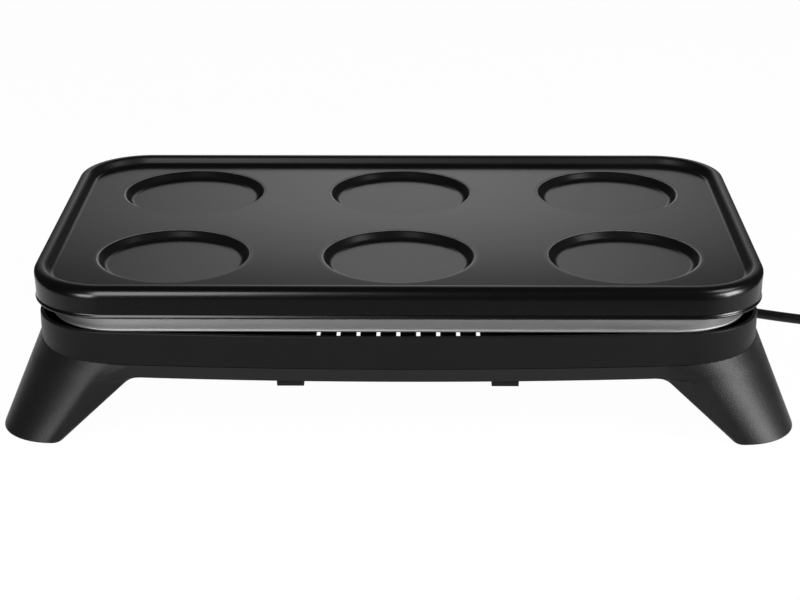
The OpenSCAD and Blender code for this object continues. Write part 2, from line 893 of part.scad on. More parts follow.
module thermostat_screws() {
    color(plain_steel)
        for (s = [-1, 1])
            translate([thermostat_x, s * ear_hole, tray_floor])
                screw(short_head[0], short_head[1], rivet_r, tray_sheet + ear_t + screw_tip);
}

module thermal_fuse() {
    color(ceramic_white)
        translate([fuse_x - fuse_l / 2, fuse_y, fuse_z])
            rotate([0, 90, 0])
                cylinder(h = fuse_l, r = fuse_r);
}

// Strap that holds the fuse up against the tray
module fuse_clip() {
    inner = fuse_r + slip;
    outer = inner + clip_t;
    color(bright_steel)
        difference() {
            translate([fuse_x - clip_w / 2, fuse_y, fuse_z])
                rotate([90, 0, 90])
                    linear_extrude(clip_w)
                        difference() {
                            union() {
                                circle(outer);
                                translate([0, inner - clip_t])
                                    square([clip_reach, clip_t]);
                            }
                            circle(inner);
                            translate([-outer - 1, inner])
                                square([2 * outer + clip_reach, outer]);
                            translate([-inner, 0])
                                square([2 * inner - 0.01, outer]);
                        }
            translate([clip_rivet[0], clip_rivet[1], tray_z - clip_t - 2])
                cylinder(h = clip_t + 4, r = rivet_r + slip);
        }
}

// Sleeves on the two cold pins and receptacles on the two thermostat blades
module push_terminals() {
    color(bright_steel) {
        at(pin_spots, sleeve_z)
            difference() {
                translate([-sleeve[0] / 2, -sleeve[1] / 2, 0])
                    cube(sleeve);
                translate([0, 0, -1])
                    cylinder(h = sleeve[2] + 2, r = pin_r + slip / 2);
            }
        for (s = [0, 1])
            translate([thermostat_x, 0, blade_z])
                mirror([s, 0, 0])
                    difference() {
                        translate([thermostat_r + 1, -receptacle[1] / 2, -receptacle[2] / 2])
                            cube(receptacle);
                        translate([thermostat_r, -blade_w / 2 - slip / 2, -blade_t / 2 - slip / 2])
                            cube([blade_l + slip, blade_w + slip, blade_t + slip]);
                    }
    }
}

// Ring tongue with a crimp barrel, under the tray
barrel_wall = 0.8;
barrel_r = lead_d / 2 + barrel_wall;
barrel_l = 8;
barrel_x = 7;
barrel_deep = 6.5;
tongue_t = 1;
tongue_r = 5;
tongue_w = 4;
module earth_terminal() {
    color(brass_yellow)
        translate([earth_spot[0], earth_spot[1], 0])
            difference() {
                union() {
                    translate([0, 0, tray_z - tongue_t])
                        cylinder(h = tongue_t, r = tongue_r);
                    translate([0, -tongue_w / 2, tray_z - tongue_t])
                        cube([barrel_x + 1, tongue_w, tongue_t]);
                    translate([barrel_x, 0, tray_z - barrel_r])
                        rotate([0, 90, 0])
                            cylinder(h = barrel_l, r = barrel_r);
                }
                translate([0, 0, tray_z - tongue_t - 1])
                    cylinder(h = tongue_t + 2, r = earth_hole_r + slip);
                translate([barrel_x + barrel_l - barrel_deep, 0, tray_z - barrel_r])
                    rotate([0, 90, 0])
                        cylinder(h = barrel_l, r = lead_r + slip / 2);
            }
}

// Earth screw from inside the tray, with its nut under the tongue
module earth_screw() {
    nut_h = 2.4;
    nut_r = 4;
    color(brass_yellow)
        translate([earth_spot[0], earth_spot[1], 0]) {
            translate([0, 0, tray_floor])
                screw(earth_head[0], earth_head[1], earth_screw_r, tray_sheet + tongue_t + nut_h + 1);
            translate([0, 0, tray_z - tongue_t - nut_h])
                difference() {
                    cylinder(h = nut_h, r = nut_r, $fn = 6);
                    translate([0, 0, -1])
                        cylinder(h = nut_h + 2, r = earth_screw_r + pilot_gap);
                }
        }
}

// Boss inside the band with a rib that ties it to the wall
module housing_boss(p) {
    reach = boss_in - wall / 2;
    z = floor_top + boss_gap;
    translate([p[0], p[1], z]) {
        cylinder(h = boss_h, r = boss_r);
        if (p[1] == 0)
            translate([p[0] > 0 ? 0 : -reach, -boss_rib_t / 2, 0])
                cube([reach, boss_rib_t, boss_h]);
        else
            translate([-boss_rib_t / 2, p[1] > 0 ? 0 : -reach, 0])
                cube([boss_rib_t, reach, boss_h]);
    }
}

// Outline of the base as a ring at a height
function outline_ring(z, inset) = [for (p = outline(inset)) [p[0], p[1], z]];

// Solid that fills the band, with its outer edges rounded
module band_outside() {
    low = seam_z + seam_gap;
    skin([for (up = [0, 1], i = [0:band_steps])
        let (a = 90 * (up == 1 ? i : band_steps - i) / band_steps, r = up == 1 ? band_soft : hem_soft)
        outline_ring(up == 1 ? band_top - r * (1 - sin(a)) : low + r * (1 - sin(a)), r * (1 - cos(a)))]);
}

module upper_housing() {
    color(gloss_black)
        difference() {
            union() {
                difference() {
                    band_outside();
                    translate([0, 0, seam_z])
                        linear_extrude(band_h + 1)
                            polygon(outline(wall));
                }
                for (p = boss_spots)
                    housing_boss(p);
            }
            at(boss_spots, floor_top)
                cylinder(h = boss_h - 1, r = thin_screw_r + pilot_gap);
        }
}

// Hook under the floor panel that the cord is wound on
module cleat() {
    root = cleat_w / 2;
    tip = root - cleat_draft;
    step = cleat_draft * cleat_t / cleat_drop;
    translate([cleat_x, cleat_y + cleat_t, seam_z])
        rotate([90, 0, 0])
            linear_extrude(cleat_t)
                polygon([[-root, 1], [-tip, -cleat_drop], [tip, -cleat_drop], [root, 1]]);
    translate([cleat_x, cleat_y + cleat_t + cleat_lip, seam_z - cleat_drop])
        rotate([90, 0, 0])
            linear_extrude(cleat_lip + 1)
                polygon([[-tip, 0], [tip, 0], [tip + step, cleat_t], [-tip - step, cleat_t]]);
}

// Saddle and two bosses that the cord clamp pulls against
module clamp_seat() {
    saddle = cord_z + clamp_seat;
    translate([clamp_x - clamp_l / 2, cover_y, seam_z])
        rotate([90, 0, 90])
            linear_extrude(clamp_l)
                difference() {
                    translate([-clamp_screw_y, saddle - seam_z])
                        square([2 * clamp_screw_y, seam_z - saddle + 1]);
                    translate([0, cord_z - seam_z])
                        circle(cord_r + slip / 2);
                }
    for (s = [-1, 1])
        translate([clamp_x, cover_y + s * clamp_screw_y, clamp_top + relief_gap])
            cylinder(h = seam_z - clamp_top - relief_gap + 1, r = clamp_boss_r);
}

module base_floor() {
    color(satin_black)
        difference() {
            union() {
                translate([0, 0, seam_z])
                    linear_extrude(floor_t)
                        difference() {
                            polygon(outline(wall + floor_gap));
                            for (i = [0:vent_count - 1])
                                translate([(i - (vent_count - 1) / 2) * vent_pitch, -vent_y])
                                    slot_2d(vent_l, vent_w);
                            translate([hole_x, cover_y])
                                square([hole_w, block_w - 2], center = true);
                        }
                at(spacer_spots, floor_top - 1)
                    cylinder(h = tray_lift - spacer_l + 1, r = post_r);
                at(cover_spots, floor_top - 1)
                    cylinder(h = cover_boss_h + 1, r = cover_boss_r);
                quadrants()
                    cleat();
                clamp_seat();
            }
            at(spacer_spots, floor_top)
                cylinder(h = tray_lift, r = screw_r + pilot_gap);
            at(cover_spots, seam_z - 1)
                cylinder(h = floor_t + cover_boss_h, r = thin_screw_r + pilot_gap);
            at(boss_spots, seam_z - 1)
                cylinder(h = floor_t + 2, r = thin_screw_r + slip);
            for (s = [-1, 1])
                translate([clamp_x, cover_y + s * clamp_screw_y, clamp_top])
                    cylinder(h = seam_z - clamp_top, r = thin_screw_r + pilot_gap);
        }
}

// Outward shift of the inner leg edge at a height: level on the strip, round the fillet, then straight
function leg_edge(z) = let (d = leg_clear - z)
    d <= 0 ? -fillet_back :
    d < fillet_drop ? -fillet_back + leg_fillet * sin(acos(1 - d / leg_fillet)) :
    d * tan(leg_taper);

// Front of the base at a distance from its middle line
function front_y(x) = bow_y + sqrt(bow_r * bow_r - pow(min(x, corner_x), 2));

// How far the end of a leg's long face is tucked back towards the strip at a height
function tuck_share(z) = smooth(max(0, min(1, (z - leg_clear + tuck_h) / tuck_h)));

// Section of a leg at a height, drawn in by a distance; the inner edges may follow a lower height
function leg_ring(z, inset, lower = 0) = let (
    share = (seam_z - z) / (seam_z - foot_z),
    lean = (seam_z - z) * tan(leg_lean) - inset,
    lean_front = (seam_z - z) * tan(leg_lean_front) - inset,
    edge = max(leg_edge(z - lower), inset - fillet_back) + (lower == 0 ? inset : 0),
    size = leg_top_w + min(lean, lean_front) - edge,
    side_r = max(1, leg_side_r[1] + (leg_side_r[0] - leg_side_r[1]) * share - inset),
    outer_r = min(leg_seam_r + (leg_foot_r - leg_seam_r) * share - inset, size - side_r - 0.5),
    inner_r = min(leg_inner_r, size - side_r - 0.5),
    x0 = leg_x - leg_top_w + edge,
    y0 = leg_y - leg_top_w + edge,
    x1 = leg_x + lean,
    y1 = leg_y + lean_front,
    tuck = max(0, y1 + inset - front_y(x0)) * tuck_share(z))
    [for (p = concat(
        arc([x0 + inner_r, y0 + inner_r], inner_r, 180, 270, 4),
        arc([x1 - side_r, y0 + side_r], side_r, 270, 360, 4),
        arc([x1 - outer_r, y1 - outer_r], outer_r, 0, 90, 12),
        arc([x0 + side_r, y1 - side_r - tuck], side_r, 90, 180, 4))) [p[0], p[1], z]];

// Heights on the fillet between leg and strip, from its lower end up
function fillet_levels(n) = [for (i = [n:-1:0]) leg_clear - leg_fillet * (1 - cos(leg_turn * i / n))];

// Outside of one leg, carried up past the seam so that it wraps the corner of the band
module leg_outside() {
    skin(concat(
        [for (e = edge_round) leg_ring(foot_z + e[0], e[1])],
        [for (z = fillet_levels(fillet_steps)) leg_ring(z, 0)],
        [leg_ring(seam_z, 0), leg_ring(seam_z + wedge_h, 0)]));
}

// Hollow inside one leg
module leg_inside() {
    skin(concat(
        [leg_ring(foot_z + leg_floor, wall, wall)],
        [for (z = fillet_levels(fillet_steps)) leg_ring(z + wall, wall, wall)],
        [leg_ring(leg_top_z, wall, wall)]));
}

module leg_frame() {
    color(satin_black)
        difference() {
            union() {
                translate([0, 0, leg_clear])
                    linear_extrude(strip_h)
                        difference() {
                            polygon(outline(0));
                            polygon(outline(wall));
                        }
                translate([0, 0, leg_top_z])
                    linear_extrude(seam_z - leg_top_z)
                        difference() {
                            polygon(outline(wall / 2));
                            polygon(outline(flange_w));
                        }
                quadrants()
                    leg_outside();
            }
            translate([0, 0, seam_z])
                linear_extrude(wedge_h + 1)
                    polygon(outline(-seam_gap));
            quadrants()
                leg_inside();
            quadrants()
                translate([leg_x - leg_hole_in, leg_y - leg_hole_in, leg_top_z - 1])
                    cylinder(h = wall + 2, r = leg_hole_r);
            at(boss_spots, leg_top_z - 1)
                cylinder(h = wall + 2, r = thin_screw_r + slip);
            quadrants()
                translate([pad_x, pad_y, foot_z - 1])
                    cylinder(h = pad_sunk + 1, r = pad_d / 2 + slip);
        }
}

module housing_screws() {
    color(plain_steel)
        at(boss_spots, leg_top_z)
            mirror([0, 0, 1])
                screw(boss_head[0], boss_head[1], thin_screw_r, wall + floor_t + boss_gap + boss_bite);
}

module foot_pads() {
    r = pad_d / 2;
    h = pad_stand + pad_sunk;
    color(rubber_black)
        quadrants()
            translate([pad_x, pad_y, 0])
                rotate_extrude()
                    polygon(soften([[0, 0, 0], [r, 0, hem_soft], [r, h, hem_soft], [0, h, 0]]));
}

module wiring_cover() {
    color(satin_black)
        difference() {
            union() {
                translate([cover_x, cover_y, cover_z])
                    linear_extrude(cover_h)
                        round_rect(cover_l, cover_w, cover_r);
                for (p = cover_spots)
                    translate([p[0] - cover_lug_w / 2, p[1] - cover_lug_l / 2, seam_z - wall])
                        cube([cover_lug_w, cover_lug_l, wall]);
            }
            translate([cover_x, cover_y, cover_z + cover_wall])
                linear_extrude(cover_h)
                    round_rect(cover_l - 2 * cover_wall, cover_w - 2 * cover_wall, cover_r - cover_wall);
            at(cover_spots, seam_z - wall - 1)
                cylinder(h = wall + 2, r = thin_screw_r + slip);
            translate([cover_end - cover_wall - 1, cover_y, cord_z])
                rotate([90, 0, 90])
                    linear_extrude(cover_wall + 2) {
                        circle(relief_neck_r + slip);
                        translate([-relief_neck_r - slip, 0])
                            square([2 * (relief_neck_r + slip), cover_h]);
                    }
        }
}

module cover_screws() {
    color(plain_steel)
        at(cover_spots, seam_z - wall)
            mirror([0, 0, 1])
                screw(thin_head[0], thin_head[1], thin_screw_r, wall + floor_t + cover_bite);
}

module terminal_block() {
    color(ceramic_white)
        difference() {
            translate([-block_l / 2, cover_y - block_w / 2, seam_z - block_h])
                cube([block_l, block_w, block_h]);
            for (y = poles, s = [0, 1])
                mirror([s, 0, 0]) {
                    translate([block_l / 2 - entry_l, y, block_z])
                        rotate([0, 90, 0])
                            cylinder(h = entry_l + 1, r = lead_r + slip);
                    translate([block_l / 4, y, seam_z - block_h - 1])
                        cylinder(h = pole_screw_h + 1.5, r = pole_screw_r + slip / 2);
                }
        }
}

module terminal_screws() {
    color(brass_yellow)
        for (y = poles, s = [-1, 1])
            translate([s * block_l / 4, y, seam_z - block_h + 0.5])
                mirror([0, 0, 1])
                    translate([0, 0, -pole_screw_h])
                        difference() {
                            cylinder(h = pole_screw_h, r = pole_screw_r);
                            translate([-pole_screw_r, -0.3, pole_screw_h - 0.7])
                                cube([2 * pole_screw_r, 0.6, 1]);
                        }
}

// Lead from one pole of the block up through the hole in the floor panel and on along more points
module block_lead(y, points) {
    start = [[entry_l - block_l / 2 - 1.5, y, block_z], [hole_x, y, block_z], [hole_x, y, lead_z]];
    tube(ease(concat(start, points), lead_bend), lead_r, 8);
}

module live_lead() {
    x = thermostat_x - thermostat_r - 1 - receptacle[0];
    color(live_brown)
        block_lead(poles[0], [[hole_x, live_turn_y, lead_z], [live_turn_x, 0, blade_z], [x, 0, blade_z]]);
}

module switch_lead() {
    x = thermostat_x + thermostat_r + 1 + receptacle[0];
    end = fuse_x - fuse_l / 2;
    color(live_brown)
        tube(ease([[x, 0, blade_z], [x + lead_straight, 0, blade_z], [end - lead_straight, fuse_y, fuse_z],
            [end, fuse_y, fuse_z]], lead_bend), lead_r, 8);
}

module fuse_lead() {
    x = fuse_x + fuse_l / 2;
    end = pin_x - sleeve[0] / 2;
    z = sleeve_z + sleeve[2] / 2;
    color(live_brown)
        tube(ease([[x, fuse_y, fuse_z], [x + lead_straight, fuse_y, fuse_z],
            [x + lead_straight + fuse_slant, y_in, z], [end, y_in, z]], lead_bend), lead_r, 8);
}

module neutral_lead() {
    end = pin_x - sleeve[0] / 2;
    z = sleeve_z + sleeve[2] / 2;
    color(neutral_blue)
        block_lead(poles[2], [[end - neutral_turn, poles[2], lead_z], [end - neutral_straight, y_out, z],
            [end, y_out, z]]);
}

module earth_lead() {
    x = earth_spot[0] + barrel_x + barrel_l - barrel_deep + 0.5;
    z = tray_z - barrel_r;
    color(earth_green)
        block_lead(poles[1], [[x + earth_straight, earth_spot[1], z], [x, earth_spot[1], z]]);
}

// Bar that presses the cord against its saddle
module cord_clamp() {
    color(satin_black)
        translate([clamp_x, cover_y, clamp_top - clamp_t])
            difference() {
                linear_extrude(clamp_t)
                    slot_2d(2 * clamp_half, clamp_l);
                for (s = [-1, 1])
                    translate([0, s * clamp_screw_y, -1])
                        cylinder(h = clamp_t + 2, r = thin_screw_r + slip);
            }
}

module clamp_screws() {
    color(plain_steel)
        for (s = [-1, 1])
            translate([clamp_x, cover_y + s * clamp_screw_y, clamp_top - clamp_t])
                mirror([0, 0, 1])
                    screw(short_head[0], short_head[1], thin_screw_r, clamp_t + clamp_bite);
}

module cord_tail() {
    color(rubber_black)
        translate([tail_x, cover_y, cord_z])
            rotate([0, 90, 0])
                cylinder(h = relief_in - tail_x, r = cord_r);
}

// Three insulated cores from the end of the cord into the block
module cord_cores() {
    core_r = lead_r - 0.2;
    core_colours = [live_brown, earth_green, neutral_blue];
    for (k = [0:2]) {
        start = [tail_x, cover_y + (k - 1) * 1.7, cord_z + (k == 1 ? 1.4 : -1)];
        color(core_colours[k])
            tube(ease([start, start - [3, 0, 0], [block_l / 2 + 3, poles[k], block_z],
                [block_l / 2 - 4, poles[k], block_z]], 3), core_r, 8);
    }
}

// Moulded strain relief: two flanges that grip the cover wall, then a ringed taper
module strain_relief() {
    taper_l = relief_tip - relief_out;
    ring_pitch = taper_l / (relief_rings + 1);
    outer = relief_out - relief_in;
    function taper_r(x) = relief_root_r + (relief_tip_r - relief_root_r) * x / taper_l;
    color(rubber_black)
        translate([relief_in, cover_y, cord_z])
            rotate([90, 0, 90])
                rotate_extrude()
                    polygon(concat(
                        [[0, 0], [relief_r, 0], [relief_r, relief_flange], [relief_neck_r, relief_flange]],
                        [[relief_neck_r, outer - relief_flange], [relief_r, outer - relief_flange]],
                        [[relief_r, outer], [relief_root_r, outer]],
                        [for (i = [1:relief_rings], q = [[-1, 0], [-1, 1], [1, 1], [1, 0]])
                            let (x = i * ring_pitch + q[0] * ring_w / 2)
                            [taper_r(x) - q[1] * ring_deep, outer + x]],
                        [[relief_tip_r, relief_tip - relief_in], [0, relief_tip - relief_in]]));
}

module cord_run() {
    color(rubber_black)
        tube(cord_route, cord_r, 10);
}

// Point on the coil after a number of turns
function coil_radius(turn) = turn < coil_in_turns ? coil_r - coil_pitch * turn :
    turn < coil_in_turns + coil_climb ?
        coil_inner_r - coil_dip * sin(180 * (turn - coil_in_turns) / coil_climb) :
        coil_inner_r + coil_pitch * (turn - coil_in_turns - coil_climb);
function coil_height(turn) = coil_pitch * smooth(max(0, min(1, (turn - coil_in_turns) / coil_climb)));
function coil_point(turn) = let (a = coil_heading - 90 + 360 * turn)
    coil_axis + [coil_radius(turn) * cos(a), coil_radius(turn) * sin(a), coil_height(turn)];
coil_exit = coil_point(coil_turns);
coil_exit_dir = [cos(coil_exit_heading), sin(coil_exit_heading), 0];
coil_end = coil_exit + cord_d * coil_exit_dir;
coil_steps = ceil(coil_turns * coil_rings);
coil_path = concat(
    [cord_end],
    [for (i = [0:coil_steps]) coil_point(coil_turns * i / coil_steps)],
    [coil_end]);
coil_self_gap = min([for (i = [0:len(coil_path) - 1], j = [i + coil_rings / 2:1:len(coil_path) - 1])
    norm(coil_path[i] - coil_path[j])]) - cord_d;

module cord_coil() {
    echo(str("least gap of the coil to itself: ", coil_self_gap));
    color(rubber_black)
        tube(coil_path, cord_r, 6);
}

// Short stretch that rises from the top of the coil to the tail of the plug
lead_out_steps = 6;
lead_out_rise = plug_z - coil_end[2];
lead_out_path = concat(
    [coil_end],
    [for (i = [0:lead_out_steps]) let (t = i / lead_out_steps)
        coil_end + (cord_d + lead_out_l * t) * coil_exit_dir + [0, 0, lead_out_rise * smooth(t)]],
    [coil_end + (2 * cord_d + lead_out_l) * coil_exit_dir + [0, 0, lead_out_rise]]);
plug_at = lead_out_path[len(lead_out_path) - 1];
cord_total = run_length(cord_route) + run_length(coil_path) + run_length(lead_out_path);

module cord_lead() {
    echo(str("free length of the cord: ", cord_total));
    color(rubber_black)
        tube(lead_out_path, cord_r, 10);
}

// Strap round the turns of the coil, a little way past where the cord comes in
tie_turn = tie_angle / 360;
tie_in = min(coil_radius(tie_turn + 1), coil_radius(tie_turn + 2)) - cord_r - tie_gap;
tie_out = coil_r + cord_r + tie_gap;
tie_low = cord_end[2] - cord_r - tie_gap;
tie_high = cord_end[2] + coil_pitch + cord_r + tie_gap;
module cord_tie() {
    loop_l = tie_out - tie_in;
    loop_h = tie_high - tie_low;
    color(satin_black)
        translate(flat(coil_axis))
            rotate(coil_heading - 90 + tie_angle)
                translate([(tie_in + tie_out) / 2, tie_w / 2, (tie_low + tie_high) / 2])
                    rotate([90, 0, 0])
                        linear_extrude(tie_w)
                            difference() {
                                round_rect(loop_l + 2 * tie_t, loop_h + 2 * tie_t, tie_soft + tie_t);
                                round_rect(loop_l, loop_h, tie_soft);
                            }
}

// Frame of the plug: its axis runs from the tail to the pins
module plug_frame() {
    translate(plug_at)
        rotate([0, 90, coil_exit_heading])
            children();
}

module plug_body() {
    r = plug_d / 2;
    color(rubber_black)
        plug_frame()
            difference() {
                rotate_extrude()
                    polygon(soften([
                        [0, 0, 0],
                        [plug_tail_r[0], 0, bead_chamfer],
                        [plug_tail_r[1], plug_tail_l, bend_soft],
                        for (p = plug_neck) [r - p[0], plug_tail_l + p[1], p[2]],
                        [r, plug_l, plug_edge],
                        [0, plug_l, 0]]));
                for (s = [0, 1])
                    mirror([s, 0, 0])
                        translate([r - plug_slot_deep, -plug_slot_w / 2, plug_l - plug_slot_l])
                            cube([plug_slot_deep + 1, plug_slot_w, plug_slot_l + 1]);
                for (s = [-1, 1])
                    translate([0, s * plug_pin_pitch / 2, plug_l - plug_pin_deep])
                        cylinder(h = plug_pin_deep + 1, r = plug_pin_r + pilot_gap);
            }
}

module plug_pins() {
    color(bright_steel)
        plug_frame()
            for (s = [-1, 1])
                translate([0, s * plug_pin_pitch / 2, plug_l - plug_pin_deep])
                    rotate_extrude()
                        polygon(soften([
                            [0, 0, 0],
                            [plug_pin_r, 0, 0],
                            [plug_pin_r, plug_pin_deep + plug_pin_l, plug_edge],
                            [0, plug_pin_deep + plug_pin_l, 0]]));
}

module plug_earth() {
    strip_w = plug_slot_w - 2 * pilot_gap;
    color(bright_steel)
        plug_frame()
            for (s = [0, 1])
                mirror([s, 0, 0])
                    translate([plug_d / 2 - plug_slot_deep, -strip_w / 2, plug_l - plug_slot_l])
                        cube([plug_strip_t, strip_w, plug_slot_l - plug_strip_t]);
}

griddle_plate();
reflector_tray();
heating_element();
element_pins();
element_bushings();
element_supports();
tray_rivets();
tray_screws();
tray_spacers();
thermostat();
thermostat_screws();
thermal_fuse();
fuse_clip();
push_terminals();
earth_terminal();
earth_screw();
upper_housing();
base_floor();
leg_frame();
housing_screws();
foot_pads();
wiring_cover();
cover_screws();
terminal_block();
terminal_screws();
live_lead();
switch_lead();
fuse_lead();
neutral_lead();
earth_lead();
cord_clamp();
clamp_screws();
cord_tail();
cord_cores();
strain_relief();
cord_run();
cord_coil();
cord_lead();
cord_tie();
plug_body();
plug_pins();
plug_earth();
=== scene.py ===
"""Looks of a countertop mini crepe maker: finishes, mains cord, camera and studio, in metres."""

from __future__ import annotations

import json
import logging
import math
from abc import ABC, abstractmethod
from dataclasses import dataclass
from enum import Enum
from typing import Any, ClassVar, Mapping, Sequence, Union

import bpy
from mathutils import Matrix, Vector

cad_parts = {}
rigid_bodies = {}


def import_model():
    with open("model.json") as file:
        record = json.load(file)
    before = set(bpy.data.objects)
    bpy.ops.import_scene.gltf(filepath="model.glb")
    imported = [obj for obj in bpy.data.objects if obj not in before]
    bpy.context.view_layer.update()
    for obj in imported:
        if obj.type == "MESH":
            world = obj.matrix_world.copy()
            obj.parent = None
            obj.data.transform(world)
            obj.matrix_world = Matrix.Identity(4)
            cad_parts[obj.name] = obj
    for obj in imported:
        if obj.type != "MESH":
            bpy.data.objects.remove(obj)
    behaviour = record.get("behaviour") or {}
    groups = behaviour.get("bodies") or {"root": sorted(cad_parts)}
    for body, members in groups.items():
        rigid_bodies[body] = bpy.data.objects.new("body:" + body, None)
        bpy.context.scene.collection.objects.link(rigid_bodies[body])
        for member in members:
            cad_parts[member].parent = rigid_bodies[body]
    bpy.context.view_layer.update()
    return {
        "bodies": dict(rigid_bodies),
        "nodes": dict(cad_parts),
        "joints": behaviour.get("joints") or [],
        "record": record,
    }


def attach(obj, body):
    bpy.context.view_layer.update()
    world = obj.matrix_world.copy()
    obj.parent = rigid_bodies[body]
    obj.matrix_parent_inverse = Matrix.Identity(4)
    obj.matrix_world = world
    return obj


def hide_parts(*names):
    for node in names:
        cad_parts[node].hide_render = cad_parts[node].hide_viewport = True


LOG = logging.getLogger("crepe_maker")
MM = 0.001
WHITE = (1.0, 1.0, 1.0)
EVEN_LAY = (1.0, 1.0, 1.0)
Colour = tuple[float, float, float]
Point = tuple[float, float, float]
Value = Union["Socket", float, Sequence[float]]
Dressing = tuple[tuple[str, "Finish"], ...]


def scaled(colour: Colour, factor: float) -> list[float]:
    """Makes a colour darker or paler by a factor."""
    return [part * factor for part in colour]


class Sharpness(Enum):
    """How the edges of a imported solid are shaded."""

    AS_PACKED = "as packed"
    FACETED = "faceted"


class Socket:
    """Output of a node that Python's operators work on."""

    def __init__(self, graph: Graph, link: bpy.types.NodeSocket) -> None:
        """Keeps the graph and the node's output."""
        self.graph = graph
        self.link = link

    def other(self, name: str) -> Socket:
        """Gives another output of the same node."""
        return Socket(self.graph, self.link.node.outputs[name])

    def _join(self, word: str, other: Value, swapped: bool = False) -> Socket:
        """Adds the node that combines this socket with another value.

        Args:
            word: Operation in Blender's own spelling.
            other: Socket, number or triple on the other side of the operator.
            swapped: True where the other value stands on the left.

        Returns:
            The combined socket.
        """
        left, right = (other, self) if swapped else (self, other)
        kinds = {side.link.type for side in (left, right) if isinstance(side, Socket)}
        if "RGBA" in kinds:
            return self.graph.node(
                "ShaderNodeMix",
                {"data_type": "RGBA", "blend_type": word},
                {"Factor_Float": 1.0, "A_Color": left, "B_Color": right},
                "Result_Color",
            )
        kind = "ShaderNodeVectorMath" if "VECTOR" in kinds else "ShaderNodeMath"
        return self.graph.node(kind, {"operation": word}, {0: left, 1: right})

    def __add__(self, other: Value) -> Socket:
        """Adds a value."""
        return self._join("ADD", other)

    def __radd__(self, other: Value) -> Socket:
        """Is added to a value."""
        return self._join("ADD", other, True)

    def __sub__(self, other: Value) -> Socket:
        """Takes a value away."""
        return self._join("SUBTRACT", other)

    def __rsub__(self, other: Value) -> Socket:
        """Is taken away from a value."""
        return self._join("SUBTRACT", other, True)

    def __mul__(self, other: Value) -> Socket:
        """Multiplies by a value."""
        return self._join("MULTIPLY", other)

    def __rmul__(self, other: Value) -> Socket:
        """Is multiplied by a value."""
        return self._join("MULTIPLY", other, True)

    def __truediv__(self, other: Value) -> Socket:
        """Divides by a value."""
        return self._join("DIVIDE", other)

    def __pow__(self, other: Value) -> Socket:
        """Raises to a power."""
        return self._join("POWER", other)

    def __abs__(self) -> Socket:
        """Drops the sign of a number."""
        return self.graph.node("ShaderNodeMath", {"operation": "ABSOLUTE"}, {0: self})

    def at_least(self, other: Value) -> Socket:
        """Takes the larger of the two."""
        return self._join("MAXIMUM", other)

    def at_most(self, other: Value) -> Socket:
        """Takes the smaller of the two."""
        return self._join("MINIMUM", other)

    def rise(self, low: float, high: float) -> Socket:
        """Runs smoothly from 0 at one value to 1 at another.

        Args:
            low: Value that gives 0.
            high: Value that gives 1.

        Returns:
            The eased socket.
        """
        return self.graph.node(
            "ShaderNodeMapRange",
            {"interpolation_type": "SMOOTHSTEP"},
            {"Value": self, "From Min": low, "From Max": high, "To Min": 0.0, "To Max": 1.0},
        )

    def band(self, start: float, full: float, fade: float, end: float) -> Socket:
        """Is 1 between two values and eases to 0 on both sides.

        Args:
            start: Value where it leaves 0.
            full: Value where it reaches 1.
            fade: Value where it leaves 1.
            end: Value where it is back at 0.

        Returns:
            The eased band.
        """
        return self.rise(start, full) * (1.0 - self.rise(fade, end))

    def swing(self, span: float) -> Socket:
        """Turns values round 0.5 into a swing of a span about 0."""
        return span * (self - 0.5)


